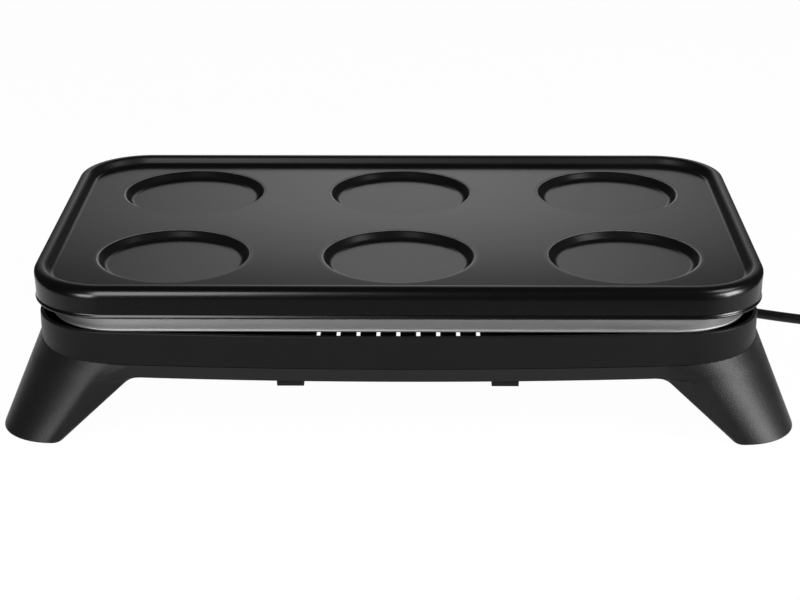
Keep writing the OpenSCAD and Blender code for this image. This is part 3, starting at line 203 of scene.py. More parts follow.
class Graph:
    """Node tree of one material, of the world or of a modifier."""

    NOISE_FALLOFF: ClassVar[float] = 0.55

    def __init__(self, tree: bpy.types.NodeTree) -> None:
        """Empties the tree."""
        self.tree = tree
        tree.nodes.clear()

    def add(
        self,
        kind: str,
        settings: Mapping[str, Any] | None = None,
        inputs: Mapping[int | str, Value] | None = None,
    ) -> bpy.types.Node:
        """Adds any node.

        Args:
            kind: Blender's name of the node type.
            settings: Properties that are set first.
            inputs: Values or sockets by index, name or identifier.

        Returns:
            The node.
        """
        made = self.tree.nodes.new(kind)
        for key, value in (settings or {}).items():
            setattr(made, key, value)
        for key, value in (inputs or {}).items():
            target = self._find(made.inputs, key)
            if isinstance(value, Socket):
                self.tree.links.new(value.link, target)
            elif target.type == "RGBA" and isinstance(value, Sequence) and len(value) == 3:
                target.default_value = (*value, 1.0)
            else:
                target.default_value = value
        return made

    def node(
        self,
        kind: str,
        settings: Mapping[str, Any] | None = None,
        inputs: Mapping[int | str, Value] | None = None,
        output: int | str = 0,
    ) -> Socket:
        """Adds any node and gives one of its outputs.

        Args:
            kind: Blender's name of the node type.
            settings: Properties that are set first.
            inputs: Values or sockets by index, name or identifier.
            output: Output to return, by index, name or identifier.

        Returns:
            The chosen output.
        """
        return Socket(self, self._find(self.add(kind, settings, inputs).outputs, output))

    @staticmethod
    def _find(sockets: bpy.types.bpy_prop_collection, key: int | str) -> bpy.types.NodeSocket:
        """Finds a socket by index, identifier or name."""
        if isinstance(key, int):
            return sockets[key]
        return next((s for s in sockets if s.identifier == key), None) or sockets[key]

    def place(self) -> Socket:
        """Gives the point on the piece, in metres from the part's origin."""
        return self.node("ShaderNodeTexCoord", output="Object")

    def split(self, vector: Socket) -> tuple[Socket, Socket, Socket]:
        """Gives the three parts of a vector."""
        x = self.node("ShaderNodeSeparateXYZ", inputs={0: vector})
        return x, x.other("Y"), x.other("Z")

    def joined(self, x: Value, y: Value, z: Value) -> Socket:
        """Makes a vector of three parts."""
        return self.node("ShaderNodeCombineXYZ", inputs={0: x, 1: y, 2: z})

    def noise(self, size: float, detail: float = 2.0, where: Socket | None = None) -> Socket:
        """Adds cloudy variation.

        Args:
            size: Size of one cloud, in metres.
            detail: Number of finer layers.
            where: Vector to read it at; the point on the piece where left out.

        Returns:
            Values around 0.5.
        """
        inputs = {
            "Vector": self.place() if where is None else where,
            "Scale": 1.0 / size,
            "Detail": detail,
            "Roughness": self.NOISE_FALLOFF,
        }
        return self.node("ShaderNodeTexNoise", inputs=inputs)

    def blend(self, share: Value, first: Value, second: Value) -> Socket:
        """Mixes two colours by a share from 0 to 1."""
        return self.node(
            "ShaderNodeMix",
            {"data_type": "RGBA"},
            {"Factor_Float": share, "A_Color": first, "B_Color": second},
            "Result_Color",
        )

    def bump(self, height: Socket, depth: float, normal: Socket | None = None) -> Socket:
        """Turns a height into a normal.

        Args:
            height: Height from 0 to 1.
            depth: Depth of the relief, in metres.
            normal: Normal that the relief lies on; the surface's own where left out.

        Returns:
            The normal.
        """
        inputs: dict[int | str, Value] = {"Strength": 1.0, "Distance": depth, "Height": height}
        if normal is not None:
            inputs["Normal"] = normal
        return self.node("ShaderNodeBump", inputs=inputs)

    def surface(self, shader: Socket) -> None:
        """Joins a shader to the output of a material."""
        self.add("ShaderNodeOutputMaterial", inputs={"Surface": shader})


@dataclass(frozen=True)
class Finish(ABC):
    """One surface finish that any number of pieces share."""

    label: str

    @abstractmethod
    def sockets(self, graph: Graph) -> dict[str, Value]:
        """Works out what the shader's sockets get."""

    def shader(self, graph: Graph) -> Socket:
        """Makes the finish's shader."""
        return graph.node("ShaderNodeBsdfPrincipled", inputs=self.sockets(graph))

    def material(self) -> bpy.types.Material:
        """Gives the finish's material, made on first use."""
        known = bpy.data.materials.get(self.label)
        if known is not None:
            return known
        made = bpy.data.materials.new(self.label)
        made.use_nodes = True
        graph = Graph(made.node_tree)
        graph.surface(self.shader(graph))
        return made


@dataclass(frozen=True)
class PlateSizes:
    """Sizes of the cooking plate that its coating follows."""

    half_l: float = 231 * MM
    half_w: float = 139.5 * MM
    corner_r: float = 48 * MM
    rim_in: float = 11 * MM
    crest_in: float = 6 * MM
    lip_low: float = 87.7 * MM
    lip_high: float = 95.3 * MM
    recess_r: float = 48.75 * MM
    wall_w: float = 4.4 * MM
    col_pitch: float = 145.5 * MM
    row_half: float = 65.25 * MM

    def reach(self, graph: Graph) -> Socket:
        """Measures how far a point is from the straight middle of the plate, in plan.

        Args:
            graph: Graph of the coating's material.

        Returns:
            Metres, the corner radius at the plate's edge.
        """
        x, y, _ = graph.split(graph.place())
        over_x = (abs(x) - (self.half_l - self.corner_r)).at_least(0.0)
        over_y = (abs(y) - (self.half_w - self.corner_r)).at_least(0.0)
        return (over_x * over_x + over_y * over_y) ** 0.5

    def recess_reach(self, graph: Graph) -> Socket:
        """Measures how far a point is from the middle of the nearest recess, in plan.

        Args:
            graph: Graph of the coating's material.

        Returns:
            Metres, the recess radius at the mouth's edge.
        """
        x, y, _ = graph.split(graph.place())
        half = self.col_pitch / 2
        off_x = abs(abs(x) - half) - half
        off_y = abs(y) - self.row_half
        return (off_x * off_x + off_y * off_y) ** 0.5


@dataclass(frozen=True)
class PlateCoating(Finish):
    """Dark non-stick coating: smooth on the cooking face, finely stippled on rim and skirt.

    The land between the recesses is crowned by a degree or two, so it mirrors another height of
    the room than the flat recess floors do. On the rim the coating is thick enough to roll softly
    over into the skirt. Both are shading alone.
    """

    sizes: PlateSizes = PlateSizes()
    face_colour: Colour = (0.0036, 0.0036, 0.0039)
    face_dark: float = 0.8
    face_pale: float = 1.25
    face_rough: float = 0.15
    face_ior: float = 1.25
    face_relief: float = 0.06
    cloud_size: float = 45 * MM
    cloud_rough: float = 0.04
    rub_size: float = 9 * MM
    rub_rough: float = 0.02
    wall_rough: float = 0.12
    wall_ease: float = 1 * MM
    land_ease: tuple[float, float] = (1.5 * MM, 3.5 * MM)
    # painted highlight: pale colour and band for a thin ring along each recess's lip, standing in
    # for the lip catching the light
    lip_highlight_colour: Colour = (0.1, 0.1, 0.1)
    lip_highlight_line: tuple[float, ...] = (-0.3 * MM, 0.2 * MM, 0.6 * MM, 1.1 * MM)
    crown: float = 0.05
    crown_back: float = 0.012
    crown_end: float = 40 * MM
    edge_colour: Colour = (0.0012, 0.0012, 0.0014)
    edge_rough: float = 0.22
    edge_ior: float = 1.4
    stipple_size: float = 0.7 * MM
    stipple_depth: float = 0.014 * MM
    stipple_rough: float = 0.1
    speck_span: tuple[float, float] = (0.55, 0.75)
    speck_pale: float = 2.6
    slope_rough: float = 0.16
    crest_ease: float = 1 * MM
    skirt_tip: float = 0.25
    lip_tip: float = 0.63
    foot_ease: tuple[float, float] = (-0.5 * MM, 1.5 * MM)

    @staticmethod
    def tipped(graph: Graph, tip: Socket) -> Socket:
        """Tips the surface's normals by a vector."""
        normal = graph.node("ShaderNodeNewGeometry", output="Normal")
        return graph.node("ShaderNodeVectorMath", {"operation": "NORMALIZE"}, {0: normal + tip})

    def crowned(self, graph: Graph, land: Socket) -> Socket:
        """Tips the normals of the land forwards near the front and a little back near the rear.

        Args:
            graph: Graph of the coating's material.
            land: 1 on the land, 0 elsewhere.

        Returns:
            The tipped normals.
        """
        _, y, _ = graph.split(graph.place())
        share = y.rise(-self.sizes.half_w, self.crown_end)
        tip = (self.crown + self.crown_back) * share - self.crown
        return self.tipped(graph, graph.joined(0.0, tip * land, 0.0))

    def rolled(self, graph: Graph, outside: Socket) -> Socket:
        """Tips the normals outside the crest up, most at the lip and least at the skirt's hem.

        Args:
            graph: Graph of the coating's material.
            outside: 1 outside the crest, 0 inside it.

        Returns:
            The tipped normals.
        """
        _, _, z = graph.split(graph.place())
        tip = self.skirt_tip + self.lip_tip * z.rise(self.sizes.lip_low, self.sizes.lip_high)
        return self.tipped(graph, graph.joined(0.0, 0.0, tip * outside))

    def sockets(self, graph: Graph) -> dict[str, Value]:
        """Works out what the shader's sockets get on the cooking face."""
        cloud = graph.noise(self.cloud_size, detail=3.0)
        rubbed = graph.noise(self.rub_size, detail=4.0)
        relief = self.face_relief * graph.noise(self.stipple_size)
        reach = self.sizes.recess_reach(graph)
        mouth = self.sizes.recess_r
        foot = mouth - self.sizes.wall_w
        land = reach.rise(*(mouth + edge for edge in self.land_ease))
        wall = reach.band(foot - self.wall_ease, foot, mouth, mouth + self.wall_ease)
        # painted highlight: a thin pale ring round each recess mouth, varied by the rubbed noise
        lip_highlight = reach.band(*(mouth + edge for edge in self.lip_highlight_line))
        dark, pale = (scaled(self.face_colour, by) for by in (self.face_dark, self.face_pale))
        rough = self.face_rough + cloud.swing(self.cloud_rough) + rubbed.swing(self.rub_rough)
        return {
            "Base Color": graph.blend(
                lip_highlight * (0.5 + rubbed), graph.blend(cloud, dark, pale), self.lip_highlight_colour
            ),
            "Roughness": rough + self.wall_rough * wall,
            "IOR": self.face_ior,
            "Normal": graph.bump(relief, self.stipple_depth, self.crowned(graph, land)),
        }

    def edge_sockets(self, graph: Graph, reach: Socket) -> dict[str, Value]:
        """Works out what the shader's sockets get on the rim and the skirt.

        Args:
            graph: Graph of the coating's material.
            reach: Distance from the plate's straight middle.

        Returns:
            Values by socket.
        """
        crest = self.sizes.corner_r - self.sizes.crest_in
        outside = reach.rise(crest - self.crest_ease, crest + self.crest_ease)
        stipple = graph.noise(self.stipple_size)
        speck = stipple.rise(*self.speck_span)
        pale = scaled(self.edge_colour, self.speck_pale)
        rough = self.edge_rough + stipple.swing(self.stipple_rough)
        return {
            "Base Color": graph.blend(speck, self.edge_colour, pale),
            "Roughness": rough + self.slope_rough * (1.0 - outside),
            "IOR": self.edge_ior,
            "Normal": graph.bump(stipple, self.stipple_depth, self.rolled(graph, outside)),
        }

    def shader(self, graph: Graph) -> Socket:
        """Makes the coating's shader: face and edge, joined at the foot of the rim."""
        reach = self.sizes.reach(graph)
        foot = self.sizes.corner_r - self.sizes.rim_in
        share = reach.rise(*(foot + edge for edge in self.foot_ease))
        face = super().shader(graph)
        edge = graph.node("ShaderNodeBsdfPrincipled", inputs=self.edge_sockets(graph, reach))
        return graph.node("ShaderNodeMixShader", inputs={0: share, 1: face, 2: edge})


@dataclass(frozen=True)
class Moulding(Finish):
    """Black moulded plastic with a fine spark-eroded grain."""

    colour: Colour = (0.008, 0.008, 0.009)
    dark: float = 0.5
    pale: float = 1.7
    rough: float = 0.45
    ior: float = 1.35
    grain: float = 0.6 * MM
    grain_depth: float = 0.03 * MM
    grain_share: float = 0.6
    grain_rough: float = 0.08
    cloud_size: float = 35 * MM
    cloud_share: float = 0.4
    cloud_rough: float = 0.06

    def sockets(self, graph: Graph) -> dict[str, Value]:
        """Works out what the shader's sockets get."""
        grain = graph.noise(self.grain)
        cloud = graph.noise(self.cloud_size, detail=3.0)
        share = self.grain_share * grain + self.cloud_share * cloud
        dark, pale = (scaled(self.colour, by) for by in (self.dark, self.pale))
        return {
            "Base Color": graph.blend(share, dark, pale),
            "Roughness": self.rough + grain.swing(self.grain_rough) + cloud.swing(self.cloud_rough),
            "IOR": self.ior,
            "Normal": graph.bump(grain, self.grain_depth),
        }


@dataclass(frozen=True)
class RolledSteel(Finish):
    """Bright sheet or drawn metal with lay lines along it and faint handling marks."""

    colour: Colour = (0.6, 0.6, 0.605)
    rough: float = 0.6
    clean: float = 1.08
    lay: tuple[float, float, float] = (1.0, 1.0, 40.0)
    lay_size: float = 12 * MM
    lay_depth: float = 0.01 * MM
    lay_rough: float = 0.12
    lay_dark: Colour = (0.86, 0.86, 0.86)
    lay_pale: Colour = (1.1, 1.1, 1.1)
    speckle_size: float = 1.1 * MM
    speckle_relief: float = 0.4
    speckle_rough: float = 0.08
    blotch_size: float = 24 * MM
    blotch_share: float = 1.2
    marks: float = 0.25
    tint: Colour = (0.6, 0.59, 0.58)

    def sockets(self, graph: Graph) -> dict[str, Value]:
        """Works out what the shader's sockets get."""
        lines = graph.noise(self.lay_size, 3.0, graph.place() * self.lay)
        speckle = graph.noise(self.speckle_size)
        blotch = graph.noise(self.blotch_size, detail=4.0)
        share = (self.marks * (self.blotch_share * blotch + speckle)).at_most(1.0)
        colour = graph.blend(share, scaled(self.colour, self.clean), self.tint)
        rough = self.rough + lines.swing(self.lay_rough) + speckle.swing(self.speckle_rough)
        return {
            "Base Color": colour * graph.blend(lines, self.lay_dark, self.lay_pale),
            "Metallic": 1.0,
            "Roughness": rough,
            "Normal": graph.bump(lines + self.speckle_relief * speckle, self.lay_depth),
        }


@dataclass(frozen=True)
class TraySheet(RolledSteel):
    """Sheet of the heat tray, with painted shade that darkens it towards its rounded ends."""

    # painted shade: how much darker the base colour gets towards the tray's ends, and over what
    # span
    end_shade: float = 0.56
    end_shade_from: float = 165 * MM
    end_shade_to: float = 225 * MM

    def sockets(self, graph: Graph) -> dict[str, Value]:
        """Works out what the shader's sockets get."""
        x, _, _ = graph.split(graph.place())
        # painted shade: the base colour is darkened towards both ends of the tray
        unshaded_share = 1.0 - self.end_shade * abs(x).rise(self.end_shade_from, self.end_shade_to)
        values = super().sockets(graph)
        return values | {"Base Color": values["Base Color"] * graph.joined(unshaded_share, unshaded_share, unshaded_share)}


@dataclass(frozen=True)
class HeatedSheath(Finish):
    """Element sheath or small steel part that has been hot: grey with straw tints and scale."""

    colour: Colour = (0.26, 0.255, 0.25)
    straw: Colour = (0.3, 0.24, 0.15)
    straw_share: float = 0.55
    straw_size: float = 30 * MM
    straw_span: tuple[float, float] = (0.4, 0.7)
    scale: Colour = (0.09, 0.085, 0.085)
    scale_share: float = 0.35
    scale_size: float = 1.5 * MM
    scale_depth: float = 0.015 * MM
    scale_rough: float = 0.2
    rough: float = 0.5

    def sockets(self, graph: Graph) -> dict[str, Value]:
        """Works out what the shader's sockets get."""
        heat = graph.noise(self.straw_size, detail=4.0).rise(*self.straw_span)
        scale = graph.noise(self.scale_size, detail=3.0)
        colour = graph.blend(self.straw_share * heat, self.colour, self.straw)
        return {
            "Base Color": graph.blend(self.scale_share * scale, colour, self.scale),
            "Metallic": 1.0,
            "Roughness": self.rough + scale.swing(self.scale_rough),
            "Normal": graph.bump(scale, self.scale_depth),
        }


@dataclass(frozen=True)
class FiredCeramic(Finish):
    """Off-white fired ceramic or heat-proof moulding with small dark specks."""

    colour: Colour = (0.76, 0.73, 0.66)
    shade: float = 0.9
    speck: Colour = (0.3, 0.27, 0.22)
    speck_share: float = 0.5
    speck_size: float = 0.5 * MM
    speck_span: tuple[float, float] = (0.68, 0.74)
    cloud_size: float = 5 * MM
    cloud_depth: float = 0.03 * MM
    cloud_rough: float = 0.15
    rough: float = 0.495

    def sockets(self, graph: Graph) -> dict[str, Value]:
        """Works out what the shader's sockets get."""
        speck = graph.noise(self.speck_size, detail=1.0).rise(*self.speck_span)
        cloud = graph.noise(self.cloud_size, detail=3.0)
        body = graph.blend(cloud, self.colour, scaled(self.colour, self.shade))
        return {
            "Base Color": graph.blend(self.speck_share * speck, body, self.speck),
            "Roughness": self.rough + cloud.swing(self.cloud_rough),
            "Normal": graph.bump(cloud, self.cloud_depth),
        }


@dataclass(frozen=True)
class Sheath(Finish):
    """Flexible sheath or rubber: dull, with fine grain and a little dust."""

    colour: Colour = (0.009, 0.009, 0.0095)
    dark: float = 0.85
    pale: float = 1.2
    rough: float = 0.51
    ior: float = 1.42
    grain_size: float = 0.5 * MM
    grain_depth: float = 0.02 * MM
    grain_rough: float = 0.12
    dust: Colour = (0.05, 0.049, 0.047)
    dust_share: float = 0.12
    dust_size: float = 14 * MM
    dust_span: tuple[float, float] = (0.5, 0.8)
    dust_rough: float = 0.1
    stripe: Colour | None = None
    stripe_pitch: float = 7 * MM
    stripe_span: tuple[float, float] = (0.2, 0.5)

    def sockets(self, graph: Graph) -> dict[str, Value]:
        """Works out what the shader's sockets get."""
        grain = graph.noise(self.grain_size)
        dust = graph.noise(self.dust_size, detail=5.0).rise(*self.dust_span)
        dark, pale = (scaled(self.colour, by) for by in (self.dark, self.pale))
        colour = graph.blend(grain, dark, pale)
        if self.stripe is not None:
            colour = graph.blend(self.striped(graph), colour, self.stripe)
        rough = self.rough + grain.swing(self.grain_rough) + self.dust_rough * dust
        return {
            "Base Color": graph.blend(self.dust_share * dust, colour, self.dust),
            "Roughness": rough,
            "IOR": self.ior,
            "Normal": graph.bump(grain, self.grain_depth),
        }

    def striped(self, graph: Graph) -> Socket:
        """Gives 1 on the stripes of a two-coloured sheath and 0 between them."""
        x, y, z = graph.split(graph.place())
        turn = (x + y + z) * (math.tau / self.stripe_pitch)
        wave = graph.node("ShaderNodeMath", {"operation": "SINE"}, {0: turn})
        return wave.rise(*self.stripe_span)


class Finishes:
    """The finishes of this part, by what they are on."""

    COATING = PlateCoating("plate_coating_finish")
    TRAY = TraySheet("tray_sheet_finish")
    BAND = Moulding(
        "band_finish",
        colour=(0.004, 0.004, 0.0044),
        rough=0.42,
        ior=1.23,
        grain_depth=0.012 * MM,
    )
    FRAME = Moulding(
        "leg_frame_finish",
        colour=(0.0055, 0.0055, 0.006),
        rough=0.42,
        ior=1.32,
        grain=0.8 * MM,
        grain_depth=0.09 * MM,
    )
    UNDERSIDE = Moulding("underside_finish", colour=(0.008, 0.008, 0.0088), rough=0.55, ior=1.3)
    ELEMENT = HeatedSheath("element_sheath_finish")
    FIXING = RolledSteel(
        "fixing_finish", colour=(0.38, 0.38, 0.39), rough=0.36, lay=EVEN_LAY, lay_size=3 * MM
    )
    CONTACT = RolledSteel(
        "contact_finish",
        colour=(0.66, 0.65, 0.63),
        rough=0.24,
        lay=EVEN_LAY,
        lay_size=4 * MM,
        lay_depth=0.003 * MM,
        marks=0.12,
    )
    BRASS = RolledSteel(
        "brass_finish",
        colour=(0.62, 0.44, 0.16),
        rough=0.32,
        lay=EVEN_LAY,
        lay_size=4 * MM,
        tint=(0.42, 0.29, 0.1),
    )
    CERAMIC = FiredCeramic("ceramic_finish")
    RUBBER = Sheath("rubber_finish", rough=0.61)
    CORD = Sheath("cord_sheath_finish", colour=(0.005, 0.005, 0.0053), rough=0.43, ior=1.3)
    PLUG = Sheath("plug_moulding_finish", colour=(0.011, 0.011, 0.0115), rough=0.49)
    LIVE = Sheath("live_insulation_finish", colour=(0.11, 0.04, 0.016), rough=0.41)
    NEUTRAL = Sheath("neutral_insulation_finish", colour=(0.02, 0.07, 0.28), rough=0.41)
    EARTH = Sheath(
        "earth_insulation_finish",
        colour=(0.08, 0.25, 0.03),
        rough=0.41,
        stripe=(0.7, 0.55, 0.03),
    )


@dataclass
class Assembly:
    """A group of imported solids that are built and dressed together."""

    frame: dict[str, Any]
    finishes: Dressing = ()
    faceted: tuple[str, ...] = ()
    split_angle: float = math.radians(32)
    weld: float = 0.002 * MM

    def build(self) -> list[bpy.types.Object]:
        """Makes the group's own meshes; none where the solids are enough."""
        return []

    def dress(self) -> None:
        """Gives each solid of the group its finish and its shading."""
        for name, finish in self.finishes:
            solid = self.frame["nodes"][name]
            self.paint(solid, finish)
            self.shade(solid, Sharpness.FACETED if name in self.faceted else Sharpness.AS_PACKED)
            LOG.info("%s: %s", name, finish.label)

    @staticmethod
    def paint(piece: bpy.types.Object, finish: Finish) -> None:
        """Puts a finish on every slot of a piece."""
        made = finish.material()
        if not piece.material_slots:
            piece.data.materials.append(made)
        for slot in piece.material_slots:
            slot.material = made

    def shade(self, solid: bpy.types.Object, sharpness: Sharpness) -> None:
        """Smooths the shading of a faceted solid and leaves its sharp edges.

        Args:
            solid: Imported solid.
            sharpness: Whether its curves were packed as flat facets.
        """
        if sharpness is Sharpness.AS_PACKED:
            return
        smooth = solid.modifiers.new("smooth_facets", "NODES")
        smooth.node_group = self.smoothing()
        even = solid.modifiers.new("even_shading", "WEIGHTED_NORMAL")
        even.keep_sharp = True

    def smoothing(self) -> bpy.types.NodeTree:
        """Gives the modifier's nodes that join facets and keep the sharp edges.

        Returns:
            The node group for this group's split angle, made on first use.
        """
        label = f"smooth_under_{math.degrees(self.split_angle):.0f}"
        known = bpy.data.node_groups.get(label)
        if known is not None:
            return known
        tree = bpy.data.node_groups.new(label, "GeometryNodeTree")
        for way in ("INPUT", "OUTPUT"):
            tree.interface.new_socket("Geometry", in_out=way, socket_type="NodeSocketGeometry")
        graph = Graph(tree)
        packed = graph.node("NodeGroupInput")
        welded = graph.node(
            "GeometryNodeMergeByDistance", inputs={"Geometry": packed, "Distance": self.weld}
        )
        angle = graph.node("GeometryNodeInputMeshEdgeAngle")
        sharp = graph.node(
            "FunctionNodeCompare",
            {"operation": "GREATER_THAN"},
            {"A": angle, "B": self.split_angle},
        )
        smooth = graph.node(
            "GeometryNodeSetMeshNormal",
            {"mode": "SHARPNESS"},
            {
                "Mesh": welded,
                "Remove Custom": True,
                "Edge Sharpness": sharp,
                "Face Sharpness": False,
            },
        )
        graph.add("NodeGroupOutput", inputs={0: smooth})
        return tree


@dataclass
class MainsCord(Assembly):
    """Free cord from the strain relief to the plug, in millimetres.

    It sags to the table, goes out between the legs and ends in a tied coil.
    """

    diameter: float = 7.0
    exit_x: float = 85.0
    exit_y: float = 80.0
    exit_z: float = 34.0
    coil_r: float = 43.0
    coil_pitch: float = 7.6
    coil_turns: float = 2.9
    coil_climb: float = 0.5
    coil_dip: float = 1.5
    points_per_turn: int = 24
    lead_l: float = 36.0
    lead_steps: int = 6
    plug_axis_z: float = 19.0
    round_steps: int = 6
    knot_steps: int = 6
    sag: tuple[Point, ...] = (
        (0, 0, 34.0),
        (13, 0, 34.0),
        (27, 0, 32.3),
        (41, 0, 27.5),
        (55, 0, 19),
        (69, 0.2, 10.5),
        (83, 0.5, 5.8),
        (99, 1.2, 3.8),
        (113, 3.7, 3.6),
        (128, 9, 3.6),
        (143, 15, 3.6),
        (157, 20.7, 3.6),
        (171, 26.4, 3.6),
        (184, 31.8, 3.6),
        (198, 37.5, 3.8),
        (212, 43.2, 4.3),
        (226, 48.9, 4.8),
        (240, 54.6, 4.8),
    )

    @staticmethod
    def eased(share: float) -> float:
        """Runs from 0 to 1 with level ends."""
        t = min(1.0, max(0.0, share))
        return t * t * (3 - 2 * t)

    @staticmethod
    def bearing(angle: float) -> Vector:
        """Gives the level direction at an angle."""
        return Vector((math.cos(angle), math.sin(angle), 0))

    @property
    def inward_turns(self) -> float:
        """Turns of the coil's lower layer, which runs inwards."""
        return (self.coil_turns - self.coil_climb) / 2

    def coil_radius(self, turn: float) -> float:
        """Gives the coil's radius after a number of turns, in millimetres.

        Args:
            turn: Turns from the start of the coil.

        Returns:
            The radius: in on the table, a dip on the climb, out on the upper layer.
        """
        inward = self.inward_turns
        least = self.coil_r - self.coil_pitch * inward
        if turn < inward:
            return self.coil_r - self.coil_pitch * turn
        if turn < inward + self.coil_climb:
            return least - self.coil_dip * math.sin(math.pi * (turn - inward) / self.coil_climb)
        return least + self.coil_pitch * (turn - inward - self.coil_climb)

    def coil(self, start: Vector, heading: float) -> list[Vector]:
        """Lists the points of the coil, in millimetres.

        Args:
            start: First point of the coil.
            heading: Angle at which the cord comes in.

        Returns:
            Points from the lower layer's outside to the upper layer's.
        """
        axis = start + self.coil_r * self.bearing(heading + math.pi / 2)
        count = math.ceil(self.coil_turns * self.points_per_turn)
        points = []
        for i in range(count + 1):
            turn = self.coil_turns * i / count
            out = self.bearing(heading - math.pi / 2 + math.tau * turn)
            climbed = self.eased((turn - self.inward_turns) / self.coil_climb)
            rise = Vector((0, 0, self.coil_pitch * climbed))
            points.append(axis + self.coil_radius(turn) * out + rise)
        return points

    def lead(self, start: Vector, ahead: Vector) -> list[Vector]:
        """Lists the points from the coil to the plug, in millimetres.

        Args:
            start: First point past the coil.
            ahead: Level direction that the cord leaves the coil in.

        Returns:
            Points that climb to the plug's axis.
        """
        climb = self.plug_axis_z - start.z
        points = [start]
        for i in range(self.lead_steps + 1):
            share = i / self.lead_steps
            along = (self.diameter + self.lead_l * share) * ahead
            points.append(start + along + Vector((0, 0, climb * self.eased(share))))
        points.append(start + (2 * self.diameter + self.lead_l) * ahead + Vector((0, 0, climb)))
        return points

    def route(self) -> list[Vector]:
        """Lists the points along the cord's middle, in millimetres.

        Returns:
            Points from the tip of the strain relief to the tail of the plug.
        """
        run = [Vector((self.exit_x + x, self.exit_y - y, z)) for x, y, z in self.sag]
        step = run[-1] - run[-2]
        heading = math.atan2(step.y, step.x)
        coil = self.coil(run[-1] + self.diameter * self.bearing(heading), heading)
        ahead = self.bearing(heading + math.tau * self.coil_turns)
        return run + coil + self.lead(coil[-1] + self.diameter * ahead, ahead)

    def build(self) -> list[bpy.types.Object]:
        """Returns:
            The cord.
        """
        points = [p * MM for p in self.route()]
        curve = bpy.data.curves.new("mains_cord", "CURVE")
        curve.dimensions = "3D"
        curve.bevel_depth = self.diameter / 2 * MM
        curve.bevel_resolution = self.round_steps
        curve.resolution_u = self.knot_steps
        curve.use_fill_caps = True
        spline = curve.splines.new("BEZIER")
        spline.bezier_points.add(len(points) - 1)
        for knot, point in zip(spline.bezier_points, points):
            knot.co = point
            knot.handle_left_type = "AUTO"
            knot.handle_right_type = "AUTO"
        cord = bpy.data.objects.new("mains_cord", curve)
        bpy.context.scene.collection.objects.link(cord)
        self.paint(cord, Finishes.CORD)
        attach(cord, "base")
        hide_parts("cord_run", "cord_coil", "cord_lead")
        bpy.context.view_layer.update()
        return [cord]


@dataclass
class GriddlePlate(Assembly):
    """Loose cooking plate."""

    finishes: Dressing = (("griddle_plate", Finishes.COATING),)
    faceted: tuple[str, ...] = ("griddle_plate",)


@dataclass
class HeatTray(Assembly):
    """Bright tray under the plate with what holds it."""

    finishes: Dressing = (
        ("reflector_tray", Finishes.TRAY),
        ("tray_rivets", Finishes.FIXING),
        ("tray_screws", Finishes.FIXING),
        ("tray_spacers", Finishes.CERAMIC),
    )
    faceted: tuple[str, ...] = ("reflector_tray",)


@dataclass
class HeatingElement(Assembly):
    """Tubular element in the tray with its pins, bushings and supports."""

    finishes: Dressing = (
        ("heating_element", Finishes.ELEMENT),
        ("element_pins", Finishes.FIXING),
        ("element_bushings", Finishes.CERAMIC),
        ("element_supports", Finishes.ELEMENT),
    )


@dataclass
class Controls(Assembly):
    """Thermostat, fuse and terminals under the tray."""

    finishes: Dressing = (
        ("thermostat", Finishes.FIXING),
        ("thermostat_screws", Finishes.FIXING),
        ("thermal_fuse", Finishes.CERAMIC),
        ("fuse_clip", Finishes.FIXING),
        ("push_terminals", Finishes.CONTACT),
        ("earth_terminal", Finishes.BRASS),
        ("earth_screw", Finishes.BRASS),
    )


@dataclass
class Base(Assembly):
    """Band, floor panel, frame with the legs, and foot pads."""

    finishes: Dressing = (
        ("upper_housing", Finishes.BAND),
        ("base_floor", Finishes.UNDERSIDE),
        ("leg_frame", Finishes.FRAME),
        ("housing_screws", Finishes.FIXING),
        ("foot_pads", Finishes.RUBBER),
    )
    faceted: tuple[str, ...] = ("upper_housing", "leg_frame")


@dataclass
class Wiring(Assembly):
    """Cord entry, terminal block and leads under their cover."""

    finishes: Dressing = (
        ("wiring_cover", Finishes.UNDERSIDE),
        ("cover_screws", Finishes.FIXING),
        ("terminal_block", Finishes.CERAMIC),
        ("terminal_screws", Finishes.BRASS),
        ("live_lead", Finishes.LIVE),
        ("switch_lead", Finishes.LIVE),
        ("fuse_lead", Finishes.LIVE),
        ("neutral_lead", Finishes.NEUTRAL),
        ("earth_lead", Finishes.EARTH),
        ("cord_clamp", Finishes.UNDERSIDE),
        ("clamp_screws", Finishes.FIXING),
        ("cord_tail", Finishes.CORD),
        ("cord_cores", Finishes.LIVE),
        ("strain_relief", Finishes.CORD),
    )
    faceted: tuple[str, ...] = (
        "live_lead",
        "switch_lead",
        "fuse_lead",
        "neutral_lead",
        "earth_lead",
        "cord_cores",
    )
    split_angle: float = math.radians(50)


@dataclass
class PlugAndTie(Assembly):
    """Mains plug on the cord's end and the tie round the coil."""

    finishes: Dressing = (
        ("cord_tie", Finishes.PLUG),
        ("plug_body", Finishes.PLUG),
        ("plug_pins", Finishes.CONTACT),
        ("plug_earth", Finishes.CONTACT),
    )


@dataclass
class CameraRig:
    """Camera at the photograph's viewing angle."""

    spot: Point = (0.01383, -1.28758, 0.53676)
    pitch: float = 21.3157
    turn: float = 0.6102
    roll: float = -0.1065
    focal_px: float = 2012.048
    image_w: float = 800.0
    sensor_w: float = 36.0
    nearest: float = 0.05
    farthest: float = 60.0

    def build(self) -> bpy.types.Object:
        """Makes the camera and sets it as the scene's.

        Returns:
            The camera.
        """
        data = bpy.data.cameras.new("camera")
        data.sensor_fit = "HORIZONTAL"
        data.sensor_width = self.sensor_w
        data.lens = self.focal_px * self.sensor_w / self.image_w
        data.clip_start = self.nearest
        data.clip_end = self.farthest
        camera = bpy.data.objects.new("camera", data)
        bpy.context.scene.collection.objects.link(camera)
        aim = (
            Matrix.Rotation(math.radians(self.turn), 4, "Z")
            @ Matrix.Rotation(math.radians(90 - self.pitch), 4, "X")
            @ Matrix.Rotation(math.radians(self.roll), 4, "Z")
        )
        camera.matrix_world = Matrix.Translation(self.spot) @ aim
        bpy.context.scene.camera = camera
        return camera


